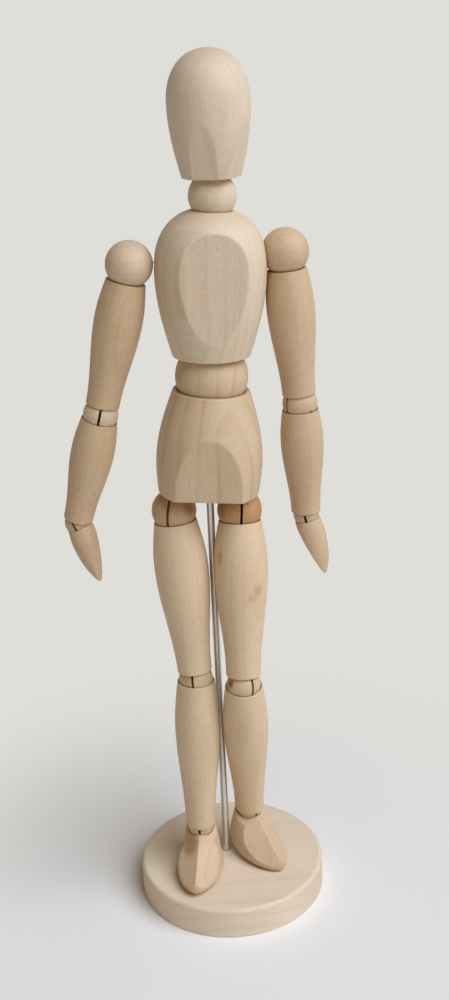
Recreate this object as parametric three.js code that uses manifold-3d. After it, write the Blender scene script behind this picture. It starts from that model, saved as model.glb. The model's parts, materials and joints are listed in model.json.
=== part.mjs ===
// Jointed wooden artist's mannequin on a round stand, posed with its arms down and one foot turned out.
// Millimetres, +Z up. The figure faces -Y, and the origin is the centre of the stand's underside.
// Every limb is a turned piece with a ball at each end. The balls have two crossed saw slots, in which
// the wire eye of one piece hangs in the eye of the next, and tension springs in the bored limbs pull
// them together. "left" and "right" are the figure's own.
import * as THREE from "three";
import { mergeVertices } from "three/addons/utils/BufferGeometryUtils.js";
import Module from "manifold-3d";

const wasm = await Module();
wasm.setup();

// Fits and cuts
const ballGap = 0.35;
const holeGap = 0.25;
const slotGap = 0.15;
const overrun = 1;
const weldDistance = 1e-4;

// Stand and rod
const baseRadius = 38;
const baseThickness = 13;
const baseEdgeRound = 2.2;
const baseFootChamfer = 0.7;
const rodRadius = 1.45;
const rodAcross = -2.2;
const rodBack = 2.6;
const rodSocketDepth = 9;
const rodReach = 14;

// Pelvis
const pelvisAcross = -2.5;
const pelvisUnderside = 176;
const pelvisHeight = 39.5;
const pelvisFootRadius = 18.9;
const pelvisRadius = 19.9;
const pelvisBulgeHeight = 12;
const pelvisTopRadius = 14.2;
const pelvisFlatSetback = 14.3;
const pelvisFlatHeight = 28;

// Spine balls
const waistBallRadius = 13.4;
const waistHeight = 44.5;
const neckBallRadius = 8.5;
const neckAcross = 0.8;
const neckHeight = 64.4;

// Chest, from the waist ball's centre
const chestUnderside = 7.9;
const chestFootRadius = 14.2;
const chestRadius = 20.1;
const chestBulgeHeight = 39;
const chestCrownHeight = 60.5;
const chestFlatSetback = 16.1;

// Head, from the neck ball's centre
const headUnderside = 6.3;
const headFootRadius = 10.4;
const headRadius = 14.45;
const headBulgeHeight = 31.3;
const headCrownHeight = 48.6;
const cheekSetback = 9.4;
const cheekHeight = 20;

// Arms
const shoulderBallRadius = 8.5;
const elbowBallRadius = 6.5;
const wristBallRadius = 4.7;
const rightShoulderAcross = -28.8;
const rightShoulderHeight = 41.2;
const leftShoulderAcross = 26.6;
const leftShoulderHeight = 44.6;
const upperArm = {
  length: 56.4,
  topDrop: 6.2,
  topRadius: 7.2,
  radius: 8.75,
  endDrop: 3.6,
  endRadius: 6.2,
};
const forearm = {
  length: 45,
  topDrop: 2.3,
  topRadius: 6.8,
  radius: 8.05,
  endDrop: 1.6,
  endRadius: 5.6,
};
const hand = {
  length: 26.6,
  topDrop: 1.6,
  topRadius: 4.8,
  radius: 5.6,
  palmDrop: 4,
  palmDepth: 4.4,
  tipDrop: 26.2,
  tipOffset: 1.9,
};

// Legs
const hipBallRadius = 8.5;
const kneeBallRadius = 6.7;
const ankleBallRadius = 5;
const rightHipAcross = -12.95;
const rightHipDrop = 8.3;
const leftHipAcross = 11.9;
const leftHipDrop = 7.4;
const thigh = {
  length: 70.2,
  topDrop: 4.1,
  topRadius: 8.2,
  radius: 10.4,
  endDrop: 3.9,
  endRadius: 6.5,
};
const shin = {
  length: 67.9,
  topDrop: 0.8,
  topRadius: 7.4,
  radius: 9,
  endDrop: 1.2,
  endRadius: 5.6,
};
const foot = {
  height: 15.5,
  ankleRadius: 5.9,
  ankleDrop: 1.4,
  heelRadius: 7.2,
  heelReach: 7.6,
  radius: 9.4,
  bulgeReach: 7.5,
  toeReach: 25,
  ridgeStart: 8,
  ridgeEndHeight: 3.5,
};
const limbEdge = 0.3;

// Wires, eyes, pins and springs
const wireRadius = 0.35;
const eyeRadius = 2.2;
const eyeOffset = 1.6;
const hangingEyeOffset = 1.4;
const springRadius = 1.9;
const springBore = 2.6;
const springStandoff = 3;
const hookRadius = 1.2;
const stemDepth = 9;
const pinLength = 13.5;
const pinHeadRadius = 1.05;
const pinHeadThickness = 1;
const neckPinLength = 17;
const neckPinHeadRadius = 1.5;
const neckSpringRadius = 1.15;
const neckSlotSpan = 12;
const collarTop = 9.4;
const collarThickness = 1.5;
const linkHalfLength = 3.2;

// Shares of a piece's own length or radius
const limbBulgeShare = 0.3;
const handBulgeShare = 0.3;
const deepSlotShare = 0.62;
const crownPower = 2.35;
const tipPower = 1.75;
const footTipPower = 1.7;
const heelPower = 2.3;
const footRiseShare = 1.15;
const springRampShare = 0.25;
const crownEndShare = 0.35;

// Pose, in degrees. A slot turn aims a ball's saw slots, a bend turns the ball in its parent's cup,
// and a sway turns the next piece round the ball.
const pelvisLean = 4;
const waistPose = { turn: 4.5, bend: 0, sway: -2 };
const neckPose = { turn: 19.5, nod: 0, lean: -2 };
const cheekTurn = 37;
const footRoofTurn = 27;
const rightArmPose = {
  shoulder: { turn: 0, bend: 2.1, sway: 12.4 },
  elbow: { turn: -6, bend: 2.6, sway: 1.4 },
  wrist: { turn: 80, bend: -36.8, sway: -0.2 },
};
const leftArmPose = {
  shoulder: { turn: 0, bend: 0.2, sway: -6.3 },
  elbow: { turn: -58, bend: -0.7, sway: 2.7 },
  wrist: { turn: -45, bend: 10.7, sway: -3.2 },
};
const rightLegPose = {
  hip: { turn: -16, bend: -1.1, sway: -8.7 },
  knee: { turn: 5, bend: 1.9, sway: 5.6 },
  ankle: { turn: 4.3, bend: 0.6, sway: -1 },
};
const leftLegPose = {
  hip: { turn: 4, bend: -8, sway: -2.5 },
  knee: { turn: 27, bend: 16.7, sway: -11.5 },
  ankle: { turn: 1.2, bend: -3.9, sway: 6.7 },
};

// Facets
const trunkSides = 20;
const turnedSides = 16;
const standSides = 36;
const waistBallSides = 20;
const largeBallSides = 16;
const smallBallSides = 12;
const holeSides = 8;
const wireSides = 4;
const eyeSides = 8;
const turnSteps = 6;
const springTurns = 3;
const profileRows = 4;
const limbSteps = 5;
const cupSteps = 3;

const rad = THREE.MathUtils.degToRad;

// Materials
function wood(color, roughness) {
  return new THREE.MeshStandardMaterial({ color, roughness, metalness: 0 });
}

function metal(color, roughness) {
  return new THREE.MeshStandardMaterial({ color, roughness, metalness: 1 });
}

const palePelvisWood = wood("#dcbfa4", 0.62);
const chestWood = wood("#dec3aa", 0.6);
const headWood = wood("#dcc0a6", 0.58);
const armWood = wood("#d3b191", 0.6);
const legWood = wood("#d9bb9c", 0.6);
const ballWood = wood("#d2ae8c", 0.62);
const standWood = wood("#dcbd9d", 0.66);
const rodSteel = metal("#c9c7c3", 0.16);
const wireSteel = metal("#a9a6a0", 0.35);
const collarBrass = metal("#b99b5c", 0.4);

// Solids
function solid(geometry) {
  const bare = geometry.clone();
  bare.deleteAttribute("normal");
  bare.deleteAttribute("uv");
  const merged = mergeVertices(bare, weldDistance);
  const mesh = new wasm.Mesh({
    numProp: 3,
    vertProperties: merged.attributes.position.array,
    triVerts: merged.index.array,
  });
  return new wasm.Manifold(mesh);
}

function geometryOf(made) {
  const mesh = made.getMesh();
  const geometry = new THREE.BufferGeometry();
  geometry.setAttribute("position", new THREE.BufferAttribute(mesh.vertProperties, 3));
  geometry.setIndex(new THREE.BufferAttribute(mesh.triVerts, 1));
  geometry.computeVertexNormals();
  return geometry;
}

function turned(rows, sides) {
  const first = rows[0];
  const last = rows[rows.length - 1];
  const points = [new THREE.Vector2(0, first[1])];
  rows.forEach(([radius, height]) => points.push(new THREE.Vector2(radius, height)));
  points.push(new THREE.Vector2(0, last[1]));
  return new THREE.LatheGeometry(points, sides).rotateX(Math.PI / 2);
}

function cylinder(radius, bottom, top, sides = holeSides) {
  const length = top - bottom;
  const shape = new THREE.CylinderGeometry(radius, radius, length, sides);
  return shape.rotateX(Math.PI / 2).translate(0, 0, bottom + length / 2);
}

function sphere(radius, sides) {
  return new THREE.SphereGeometry(radius, sides, sides / 2).rotateX(Math.PI / 2);
}

function box(acrossX, acrossY, bottom, top) {
  const length = top - bottom;
  return new THREE.BoxGeometry(acrossX, acrossY, length).translate(0, 0, bottom + length / 2);
}

// A block whose back face is a sanding plane: setback in front of the axis at the given height,
// leaning out by tilt as it rises.
function flatCutter(size, setback, height, tilt) {
  const block = new THREE.BoxGeometry(size, size, size).translate(0, -size / 2, 0);
  return block.rotateX(tilt).translate(0, -setback, height);
}

function ballSides(radius) {
  return radius > kneeBallRadius ? largeBallSides : smallBallSides;
}

// Profiles
function quarterWave(share) {
  return Math.sin((Math.PI / 2) * share);
}

function swell(share, bulgeShare, topRadius, radius, endRadius) {
  if (share < bulgeShare) {
    return topRadius + (radius - topRadius) * quarterWave(share / bulgeShare);
  }
  const fall = (share - bulgeShare) / (1 - bulgeShare);
  return endRadius + (radius - endRadius) * (0.5 + 0.5 * Math.cos(Math.PI * fall));
}

function crownRows(radius, bulge, crown, power) {
  const rows = [];
  for (let row = 1; row <= profileRows; row++) {
    const angle = (Math.PI / 2) * (row / (profileRows + crownEndShare));
    const height = bulge + (crown - bulge) * Math.sin(angle) ** (2 / power);
    rows.push([radius * Math.cos(angle) ** (2 / power), height]);
  }
  return rows;
}

function flankRows(footRadius, underside, radius, bulge) {
  const rows = [];
  for (let row = 0; row <= profileRows; row++) {
    const share = row / profileRows;
    const height = underside + (bulge - underside) * share;
    rows.push([footRadius + (radius - footRadius) * quarterWave(share), height]);
  }
  return rows;
}

function pelvisRadiusAt(height) {
  if (height < pelvisBulgeHeight) {
    const share = height / pelvisBulgeHeight;
    return pelvisFootRadius + (pelvisRadius - pelvisFootRadius) * quarterWave(share);
  }
  const share = (pelvisHeight - height) / (pelvisHeight - pelvisBulgeHeight);
  return pelvisTopRadius + (pelvisRadius - pelvisTopRadius) * quarterWave(share);
}

function headRadiusAt(height) {
  const share = (height - headUnderside) / (headBulgeHeight - headUnderside);
  return headFootRadius + (headRadius - headFootRadius) * quarterWave(share);
}

// A round section for a wire, a little inside its own circle as a polygon.
function wireSection() {
  const section = new THREE.Shape();
  for (let side = 0; side < wireSides; side++) {
    const angle = (2 * Math.PI * side) / wireSides;
    const x = wireRadius * Math.cos(angle);
    const y = wireRadius * Math.sin(angle);
    if (side === 0) section.moveTo(x, y);
    else section.lineTo(x, y);
  }
  section.closePath();
  return section;
}

// A coil along Z whose ends wind in to their own radii.
class CoilCurve extends THREE.Curve {
  constructor(from, to, radius, fromRadius, toRadius) {
    super();
    this.from = from;
    this.to = to;
    this.radius = radius;
    this.fromRadius = fromRadius;
    this.toRadius = toRadius;
  }

  getPoint(t, target = new THREE.Vector3()) {
    const ramp = springRampShare / springTurns;
    const windOut = Math.min(1, t / ramp);
    const windIn = Math.min(1, (1 - t) / ramp);
    const start = this.fromRadius + (this.radius - this.fromRadius) * windOut;
    const end = this.toRadius + (this.radius - this.toRadius) * windIn;
    const radius = Math.min(start, end);
    const angle = 2 * Math.PI * springTurns * t;
    const height = this.from + (this.to - this.from) * t;
    return target.set(radius * Math.cos(angle), radius * Math.sin(angle), height);
  }
}

function coil(from, to, radius, fromRadius, toRadius) {
  const extrudePath = new CoilCurve(from, to, radius, fromRadius, toRadius);
  const steps = springTurns * turnSteps;
  return solid(new THREE.ExtrudeGeometry(wireSection(), { extrudePath, steps, bevelEnabled: false }));
}

function wire(bottom, top) {
  return solid(cylinder(wireRadius, bottom, top, wireSides));
}

// An eye whose plane holds the Z axis: facing X it lies in the YZ plane, facing Y in the XZ plane.
function eye(centre, facing, turn = 0) {
  const ring = new THREE.TorusGeometry(eyeRadius, wireRadius, wireSides, eyeSides);
  if (facing === "x") ring.rotateY(Math.PI / 2);
  else ring.rotateX(Math.PI / 2);
  return solid(ring.rotateZ(turn).translate(0, 0, centre));
}

function hook(height) {
  const ring = new THREE.TorusGeometry(hookRadius, wireRadius, wireSides, eyeSides);
  return solid(ring.translate(0, 0, height));
}

// Scene helpers
const mannequin = new THREE.Group();
mannequin.name = "mannequin";

function place(parent, name, made, material) {
  const mesh = new THREE.Mesh(geometryOf(made), material);
  mesh.name = name;
  parent.add(mesh);
  return mesh;
}

function frame(parent, name, x, y, z) {
  const group = new THREE.Group();
  group.name = name;
  group.position.set(x, y, z);
  parent.add(group);
  return group;
}

// A ball joint: the ball's frame turns and bends in the parent's, and the next piece sways on the ball.
function ballJoint(parent, name, x, y, z, pose) {
  const ball = frame(parent, `${name}_bend`, x, y, z);
  ball.rotation.set(rad(pose.bend), 0, rad(pose.turn), "ZXY");
  const next = frame(ball, `${name}_sway`, 0, 0, 0);
  next.rotation.y = rad(pose.sway);
  return { ball, next };
}

// Balls: the parent's eye swings in a slot across X, and the next piece's eye in one across Y.
function slotWidth() {
  return 2 * (wireRadius + slotGap);
}

// How far past the ball's centre an eye's end reaches in a bend of 60 degrees
const eyeEnd = eyeRadius - eyeOffset / 2 + wireRadius + slotGap;

function slottedBall(radius, parentReach) {
  const beyond = radius + overrun;
  const parentSlot = solid(box(slotWidth(), 2 * beyond, -parentReach, beyond));
  const nextSlot = solid(box(2 * beyond, slotWidth(), -beyond, eyeEnd));
  return solid(sphere(radius, ballSides(radius))).subtract(parentSlot).subtract(nextSlot);
}

// The spine balls' slots stay inside their cups, so they don't show.
function waistBall() {
  const beyond = waistBallRadius + overrun;
  const parentSlot = solid(box(slotWidth(), waistBallRadius, -beyond, eyeEnd));
  const nextSlot = solid(box(waistBallRadius, slotWidth(), -eyeEnd, beyond));
  return solid(sphere(waistBallRadius, waistBallSides)).subtract(parentSlot).subtract(nextSlot);
}

function neckBall() {
  const eyeSpan = 2 * (eyeRadius + wireRadius + slotGap);
  const beyond = neckBallRadius + overrun;
  const pinPocket = solid(box(eyeSpan, slotWidth(), -beyond, eyeEnd));
  const headSlot = solid(box(slotWidth(), neckSlotSpan, -eyeRadius, beyond));
  const ball = solid(sphere(neckBallRadius, largeBallSides));
  return ball.subtract(pinPocket).subtract(headSlot);
}

// The pin's eye lies flat in a pocket from the chest's side, and the arm's eye swings outward.
function shoulderBall(outward) {
  const beyond = shoulderBallRadius + overrun;
  const eyeSpan = 2 * (eyeRadius + wireRadius + slotGap);
  const pocketEnd = wireRadius + slotGap;
  const hangingEyeEnd = eyeRadius + wireRadius + slotGap;
  const pocketLength = beyond + pocketEnd;
  const pocket = new THREE.BoxGeometry(pocketLength, eyeSpan, slotWidth());
  pocket.translate(outward * (pocketEnd - pocketLength / 2), 0, 0);
  const armSlot = solid(box(2 * beyond, slotWidth(), -beyond, hangingEyeEnd));
  const ball = solid(sphere(shoulderBallRadius, largeBallSides));
  return ball.subtract(solid(pocket)).subtract(armSlot);
}

// A cup's rows, from the bore out to the rim, as heights towards the ball's centre
function cupRows(ballRadius, rimDrop) {
  const radius = ballRadius + ballGap;
  const from = Math.asin(springBore / radius);
  const to = Math.acos(rimDrop / radius);
  const rows = [];
  for (let row = 0; row <= cupSteps; row++) {
    const angle = from + ((to - from) * row) / cupSteps;
    rows.push([radius * Math.sin(angle), radius * Math.cos(angle)]);
  }
  return rows;
}

// Turned limbs, from the upper ball's centre down to the lower one's, bored for their spring
function limb(size, upperBall, lowerBall) {
  const top = -size.topDrop;
  const bottom = size.endDrop - size.length;
  const rows = [[size.endRadius - limbEdge, bottom]];
  for (let row = 0; row <= limbSteps; row++) {
    const share = 1 - row / limbSteps;
    const radius = swell(share, limbBulgeShare, size.topRadius, size.radius, size.endRadius);
    const edge = row === 0 ? limbEdge : row === limbSteps ? -limbEdge : 0;
    rows.push([radius, top + (bottom - top) * share + edge]);
  }
  rows.push([size.topRadius - limbEdge, top]);
  const upperCup = cupRows(upperBall, size.topDrop).reverse();
  upperCup.forEach(([radius, height]) => rows.push([radius, -height]));
  cupRows(lowerBall, size.endDrop).forEach(([radius, height]) => rows.push([radius, height - size.length]));
  rows.push(rows[0]);
  const points = rows.map(([radius, height]) => new THREE.Vector2(radius, height));
  return solid(new THREE.LatheGeometry(points, turnedSides).rotateX(Math.PI / 2));
}

function limbSpring(length, upperEye, upperBall, lowerBall, lowerTurn) {
  const top = -upperBall - springStandoff;
  const bottom = lowerBall + springStandoff - length;
  const upperStem = wire(top - wireRadius, -upperEye - eyeRadius);
  const lowerStem = wire(eyeOffset + eyeRadius - length, bottom + wireRadius);
  return coil(top, bottom, springRadius, 0, 0)
    .add(upperStem)
    .add(lowerStem)
    .add(eye(-upperEye, "y"))
    .add(eye(eyeOffset - length, "x", lowerTurn));
}

// A wire eye with a straight stem, screwed into the piece above its ball
function stemEye(facing, turn = 0) {
  const stem = wire(eyeOffset + eyeRadius, eyeOffset + eyeRadius + stemDepth);
  return stem.add(eye(eyeOffset, facing, turn));
}

function stemHole() {
  return cylinder(wireRadius + holeGap, 0, eyeOffset + eyeRadius + stemDepth + holeGap);
}

function upsideDown(made) {
  return solid(geometryOf(made).rotateX(Math.PI));
}

// Stand
function base() {
  const rows = [[baseRadius - baseFootChamfer, 0], [baseRadius, baseFootChamfer]];
  for (let row = 0; row <= profileRows - 1; row++) {
    const angle = (Math.PI / 2) * (row / (profileRows - 1));
    const inset = baseEdgeRound * (1 - Math.cos(angle));
    const rise = baseEdgeRound * (1 - Math.sin(angle));
    rows.push([baseRadius - inset, baseThickness - rise]);
  }
  const hole = cylinder(rodRadius + holeGap, baseThickness - rodSocketDepth, baseThickness + overrun, turnedSides);
  return solid(turned(rows, standSides)).subtract(solid(hole.translate(rodAcross, rodBack, 0)));
}

function rod() {
  const bottom = baseThickness - rodSocketDepth + holeGap;
  return solid(cylinder(rodRadius, bottom, pelvisUnderside + rodReach, turnedSides));
}

// Trunk
function pelvisRows() {
  const rows = [];
  const count = 2 * profileRows - 1;
  for (let row = 0; row <= count; row++) {
    const height = (pelvisHeight * row) / count;
    rows.push([pelvisRadiusAt(height), height]);
  }
  return rows;
}

function pelvis() {
  const size = 2 * pelvisRadius;
  const lean = pelvisRadiusAt(pelvisFlatHeight) - pelvisFlatSetback;
  const flat = flatCutter(size, pelvisFlatSetback, 0, Math.atan2(lean, pelvisFlatHeight));
  const waistCup = sphere(waistBallRadius + ballGap, waistBallSides).translate(0, 0, waistHeight);
  const waistHole = stemHole().rotateX(Math.PI).translate(0, 0, waistHeight);
  // The rod stands upright while the pelvis leans, so its hole is drilled out of square.
  const rodHole = cylinder(rodRadius + holeGap, -rodReach, rodReach + holeGap, turnedSides);
  rodHole.translate(rodAcross - pelvisAcross, rodBack, 0).rotateY(-rad(pelvisLean));
  let body = solid(turned(pelvisRows(), trunkSides).rotateZ(Math.PI / trunkSides));
  [flat, waistCup, waistHole, rodHole].forEach((cut) => (body = body.subtract(solid(cut))));
  [
    [rightHipAcross, rightHipDrop],
    [leftHipAcross, leftHipDrop],
  ].forEach(([across, drop]) => {
    const dish = sphere(hipBallRadius + ballGap, ballSides(hipBallRadius)).translate(across, 0, -drop);
    const hole = stemHole().translate(across, 0, -drop);
    body = body.subtract(solid(dish)).subtract(solid(hole));
  });
  return body;
}

// The shoulder line runs through both shoulder balls' centres.
const shoulderSpan = Math.hypot(leftShoulderAcross - rightShoulderAcross, leftShoulderHeight - rightShoulderHeight);
const shoulderTilt = Math.atan2(
  leftShoulderHeight - rightShoulderHeight,
  leftShoulderAcross - rightShoulderAcross,
);
const shoulderMiddle = [
  (leftShoulderAcross + rightShoulderAcross) / 2,
  (leftShoulderHeight + rightShoulderHeight) / 2,
];

function alongShoulders(geometry) {
  return geometry.rotateY(-shoulderTilt).translate(shoulderMiddle[0], 0, shoulderMiddle[1]);
}

function shoulderLineHeight() {
  return shoulderMiddle[1] - shoulderMiddle[0] * Math.tan(shoulderTilt);
}

function chest() {
  const rows = flankRows(chestFootRadius, chestUnderside, chestRadius, chestBulgeHeight).concat(
    crownRows(chestRadius, chestBulgeHeight, chestCrownHeight, crownPower),
  );
  const cuts = [
    flatCutter(2 * chestRadius + chestCrownHeight, chestFlatSetback, chestBulgeHeight, 0),
    sphere(waistBallRadius + ballGap, waistBallSides),
    sphere(neckBallRadius + ballGap, largeBallSides).translate(neckAcross, 0, neckHeight),
    cylinder(springBore, 0, shoulderLineHeight() + springBore),
    cylinder(springBore, neckHeight - neckPinLength - holeGap, neckHeight).translate(neckAcross, 0, 0),
    alongShoulders(cylinder(springBore, -chestRadius - overrun, chestRadius + overrun).rotateY(Math.PI / 2)),
  ];
  [-1, 1].forEach((side) => {
    const dish = sphere(shoulderBallRadius + ballGap, largeBallSides);
    cuts.push(alongShoulders(dish.translate((side * shoulderSpan) / 2, 0, 0)));
  });
  let body = solid(turned(rows, trunkSides));
  cuts.forEach((cut) => (body = body.subtract(solid(cut))));
  return body;
}

function head() {
  const rows = flankRows(headFootRadius, headUnderside, headRadius, headBulgeHeight).concat(
    crownRows(headRadius, headBulgeHeight, headCrownHeight, crownPower),
  );
  const hole = stemHole().rotateY(-rad(neckPose.lean));
  let body = solid(turned(rows, trunkSides));
  body = body.subtract(solid(sphere(neckBallRadius + ballGap, largeBallSides)));
  body = body.subtract(solid(hole));
  const lean = headRadiusAt(headUnderside + cheekHeight) - cheekSetback;
  [-1, 1].forEach((side) => {
    const cheek = flatCutter(2 * headRadius, cheekSetback, headUnderside, Math.atan2(lean, cheekHeight));
    body = body.subtract(solid(cheek.rotateZ(side * rad(cheekTurn))));
  });
  return body;
}

// Spine hardware
function spineSpring() {
  const top = shoulderLineHeight();
  const coilFrom = waistBallRadius + springStandoff;
  const coilTo = top - eyeRadius - springStandoff;
  return coil(coilFrom, coilTo, springRadius, 0, 0)
    .add(wire(eyeOffset + eyeRadius, coilFrom + wireRadius))
    .add(wire(coilTo - wireRadius, top - eyeRadius))
    .add(eye(eyeOffset, "y"))
    .add(eye(top, "x"));
}

function neckPin() {
  const headTop = -neckPinLength + pinHeadThickness;
  return solid(cylinder(neckPinHeadRadius, -neckPinLength, headTop))
    .add(wire(headTop - wireRadius, -eyeOffset - eyeRadius))
    .add(eye(-eyeOffset, "y"));
}

function neckCollar() {
  const ring = solid(cylinder(springBore - holeGap, -collarTop - collarThickness, -collarTop, turnedSides));
  return ring.subtract(solid(cylinder(wireRadius + holeGap, -neckPinLength, 0)));
}

// Pressed between the collar and the pin's head, it draws the neck ball down into the chest.
function neckSpring() {
  const top = -collarTop - collarThickness - wireRadius - slotGap;
  const bottom = pinHeadThickness - neckPinLength + wireRadius + slotGap;
  return coil(top, bottom, neckSpringRadius, neckSpringRadius, neckSpringRadius);
}

function shoulderPin() {
  return solid(cylinder(pinHeadRadius, pinLength, pinLength + pinHeadThickness))
    .add(wire(2 * eyeRadius, pinLength + wireRadius))
    .add(eye(eyeRadius, "x"));
}

function shoulderSpring() {
  const hookAt = shoulderSpan / 2 - pinLength + wireRadius + slotGap;
  const half = coil(hookAt, linkHalfLength, springRadius, hookRadius, 0).add(hook(hookAt));
  const other = solid(geometryOf(half).rotateX(Math.PI));
  const link = wire(-linkHalfLength - wireRadius, linkHalfLength + wireRadius);
  return solid(geometryOf(half.add(other).add(link)).rotateY(Math.PI / 2));
}

// Hands and feet
function handSolid() {
  const rows = [];
  const top = -hand.topDrop;
  const bulge = top - (hand.length - hand.topDrop) * handBulgeShare;
  crownRows(hand.radius, bulge, -hand.length, tipPower).forEach((row) => rows.unshift(row));
  flankRows(hand.topRadius, top, hand.radius, bulge).reverse().forEach((row) => rows.push(row));
  const tilt = Math.atan2(hand.palmDepth + hand.tipOffset, hand.tipDrop - hand.palmDrop);
  const palm = flatCutter(2 * hand.length, hand.palmDepth, -hand.palmDrop, tilt);
  return solid(turned(rows, turnedSides))
    .subtract(solid(palm))
    .subtract(solid(sphere(wristBallRadius + ballGap, largeBallSides)))
    .subtract(solid(stemHole().rotateX(Math.PI)));
}

// A foot is half an egg that lies on the sole, with a heel below the ankle and a roof of two flats
// that meet in a ridge down to the toe.
function footSolid() {
  const sole = -foot.height;
  const rows = crownRows(foot.radius, -foot.bulgeReach, -foot.toeReach, footTipPower).reverse();
  rows.push([foot.radius, -foot.bulgeReach]);
  crownRows(foot.radius, -foot.bulgeReach, foot.heelReach, heelPower).forEach((row) => rows.push(row));
  const egg = turned(rows, turnedSides).rotateX(-Math.PI / 2).scale(1, 1, footRiseShare);
  const heel = turned([[foot.heelRadius, sole - overrun], [foot.ankleRadius, -foot.ankleDrop]], turnedSides);
  let body = solid(egg.translate(0, 0, sole)).add(solid(heel));
  const ridgeDrop = foot.height - foot.ridgeEndHeight - foot.ankleDrop;
  const ridgeTurn = Math.atan2(foot.toeReach - foot.ridgeStart, ridgeDrop);
  [-1, 1].forEach((side) => {
    const flat = flatCutter(2 * foot.toeReach, 0, 0, 0).rotateZ(side * rad(footRoofTurn)).rotateX(-ridgeTurn);
    body = body.subtract(solid(flat.translate(0, -foot.ridgeStart, -foot.ankleDrop)));
  });
  const span = 2 * foot.toeReach + foot.heelReach;
  return body
    .subtract(solid(box(span, span, sole - foot.height, sole)))
    .subtract(solid(box(span, span, -foot.ankleDrop, foot.height)))
    .subtract(solid(sphere(ankleBallRadius + ballGap, largeBallSides)))
    .subtract(solid(stemHole().rotateX(Math.PI)));
}

// Assembly
place(mannequin, "base_disc", base(), standWood);
place(frame(mannequin, "rod_turn", rodAcross, rodBack, 0), "support_rod", rod(), rodSteel);

const trunk = frame(mannequin, "pelvis_slide", pelvisAcross, 0, pelvisUnderside);
trunk.rotation.y = rad(pelvisLean);
place(trunk, "pelvis", pelvis(), palePelvisWood);

const waist = ballJoint(trunk, "waist", 0, 0, waistHeight, waistPose);
place(waist.ball, "waist_ball", waistBall(), ballWood);
const waistEye = place(trunk, "waist_eye", upsideDown(stemEye("x")), wireSteel);
waistEye.position.z = waistHeight;
waistEye.rotation.z = rad(waistPose.turn);
place(waist.next, "chest", chest(), chestWood);
place(waist.next, "spine_spring", spineSpring(), wireSteel);

const neck = frame(waist.next, "neck_turn", neckAcross, 0, neckHeight);
neck.rotation.z = rad(neckPose.turn);
place(neck, "neck_ball", neckBall(), ballWood);
place(neck, "neck_pin", neckPin(), wireSteel);
place(waist.next, "neck_collar", neckCollar(), collarBrass).position.set(neckAcross, 0, neckHeight);
place(waist.next, "neck_spring", neckSpring(), wireSteel).position.set(neckAcross, 0, neckHeight);

const nod = frame(neck, "head_nod", 0, 0, 0);
nod.rotation.x = rad(neckPose.nod);
place(nod, "head", head(), headWood).rotation.y = rad(neckPose.lean);
place(nod, "head_eye", stemEye("x"), wireSteel);

const shoulderLine = frame(waist.next, "shoulder_line", shoulderMiddle[0], 0, shoulderMiddle[1]);
shoulderLine.rotation.y = -shoulderTilt;
place(shoulderLine, "shoulder_spring", shoulderSpring(), wireSteel);

function addArm(side, outward, pose) {
  const shoulder = frame(shoulderLine, `${side}_shoulder_bend`, (outward * shoulderSpan) / 2, 0, 0);
  shoulder.rotation.x = rad(pose.shoulder.bend);
  place(shoulder, `${side}_shoulder_ball`, shoulderBall(outward), ballWood);
  const pin = place(shoulder, `${side}_shoulder_pin`, shoulderPin(), wireSteel);
  pin.rotation.y = (-outward * Math.PI) / 2;
  const arm = frame(shoulder, `${side}_shoulder_sway`, 0, 0, 0);
  arm.rotation.y = rad(pose.shoulder.sway) + shoulderTilt;
  place(arm, `${side}_upper_arm`, limb(upperArm, shoulderBallRadius, elbowBallRadius), armWood);
  const elbowTurn = rad(pose.elbow.turn);
  const upperSpring = limbSpring(upperArm.length, hangingEyeOffset, shoulderBallRadius, elbowBallRadius, elbowTurn);
  place(arm, `${side}_upper_arm_spring`, upperSpring, wireSteel);

  const elbow = ballJoint(arm, `${side}_elbow`, 0, 0, -upperArm.length, pose.elbow);
  place(elbow.ball, `${side}_elbow_ball`, slottedBall(elbowBallRadius, elbowBallRadius * deepSlotShare), ballWood);
  place(elbow.next, `${side}_forearm`, limb(forearm, elbowBallRadius, wristBallRadius), armWood);
  const wristTurn = rad(pose.wrist.turn);
  const lowerSpring = limbSpring(forearm.length, eyeOffset, elbowBallRadius, wristBallRadius, wristTurn);
  place(elbow.next, `${side}_forearm_spring`, lowerSpring, wireSteel);

  const wrist = ballJoint(elbow.next, `${side}_wrist`, 0, 0, -forearm.length, pose.wrist);
  place(wrist.ball, `${side}_wrist_ball`, slottedBall(wristBallRadius, eyeEnd), ballWood);
  place(wrist.next, `${side}_hand`, handSolid(), armWood);
  place(wrist.next, `${side}_hand_eye`, upsideDown(stemEye("y")), wireSteel);
}

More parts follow.
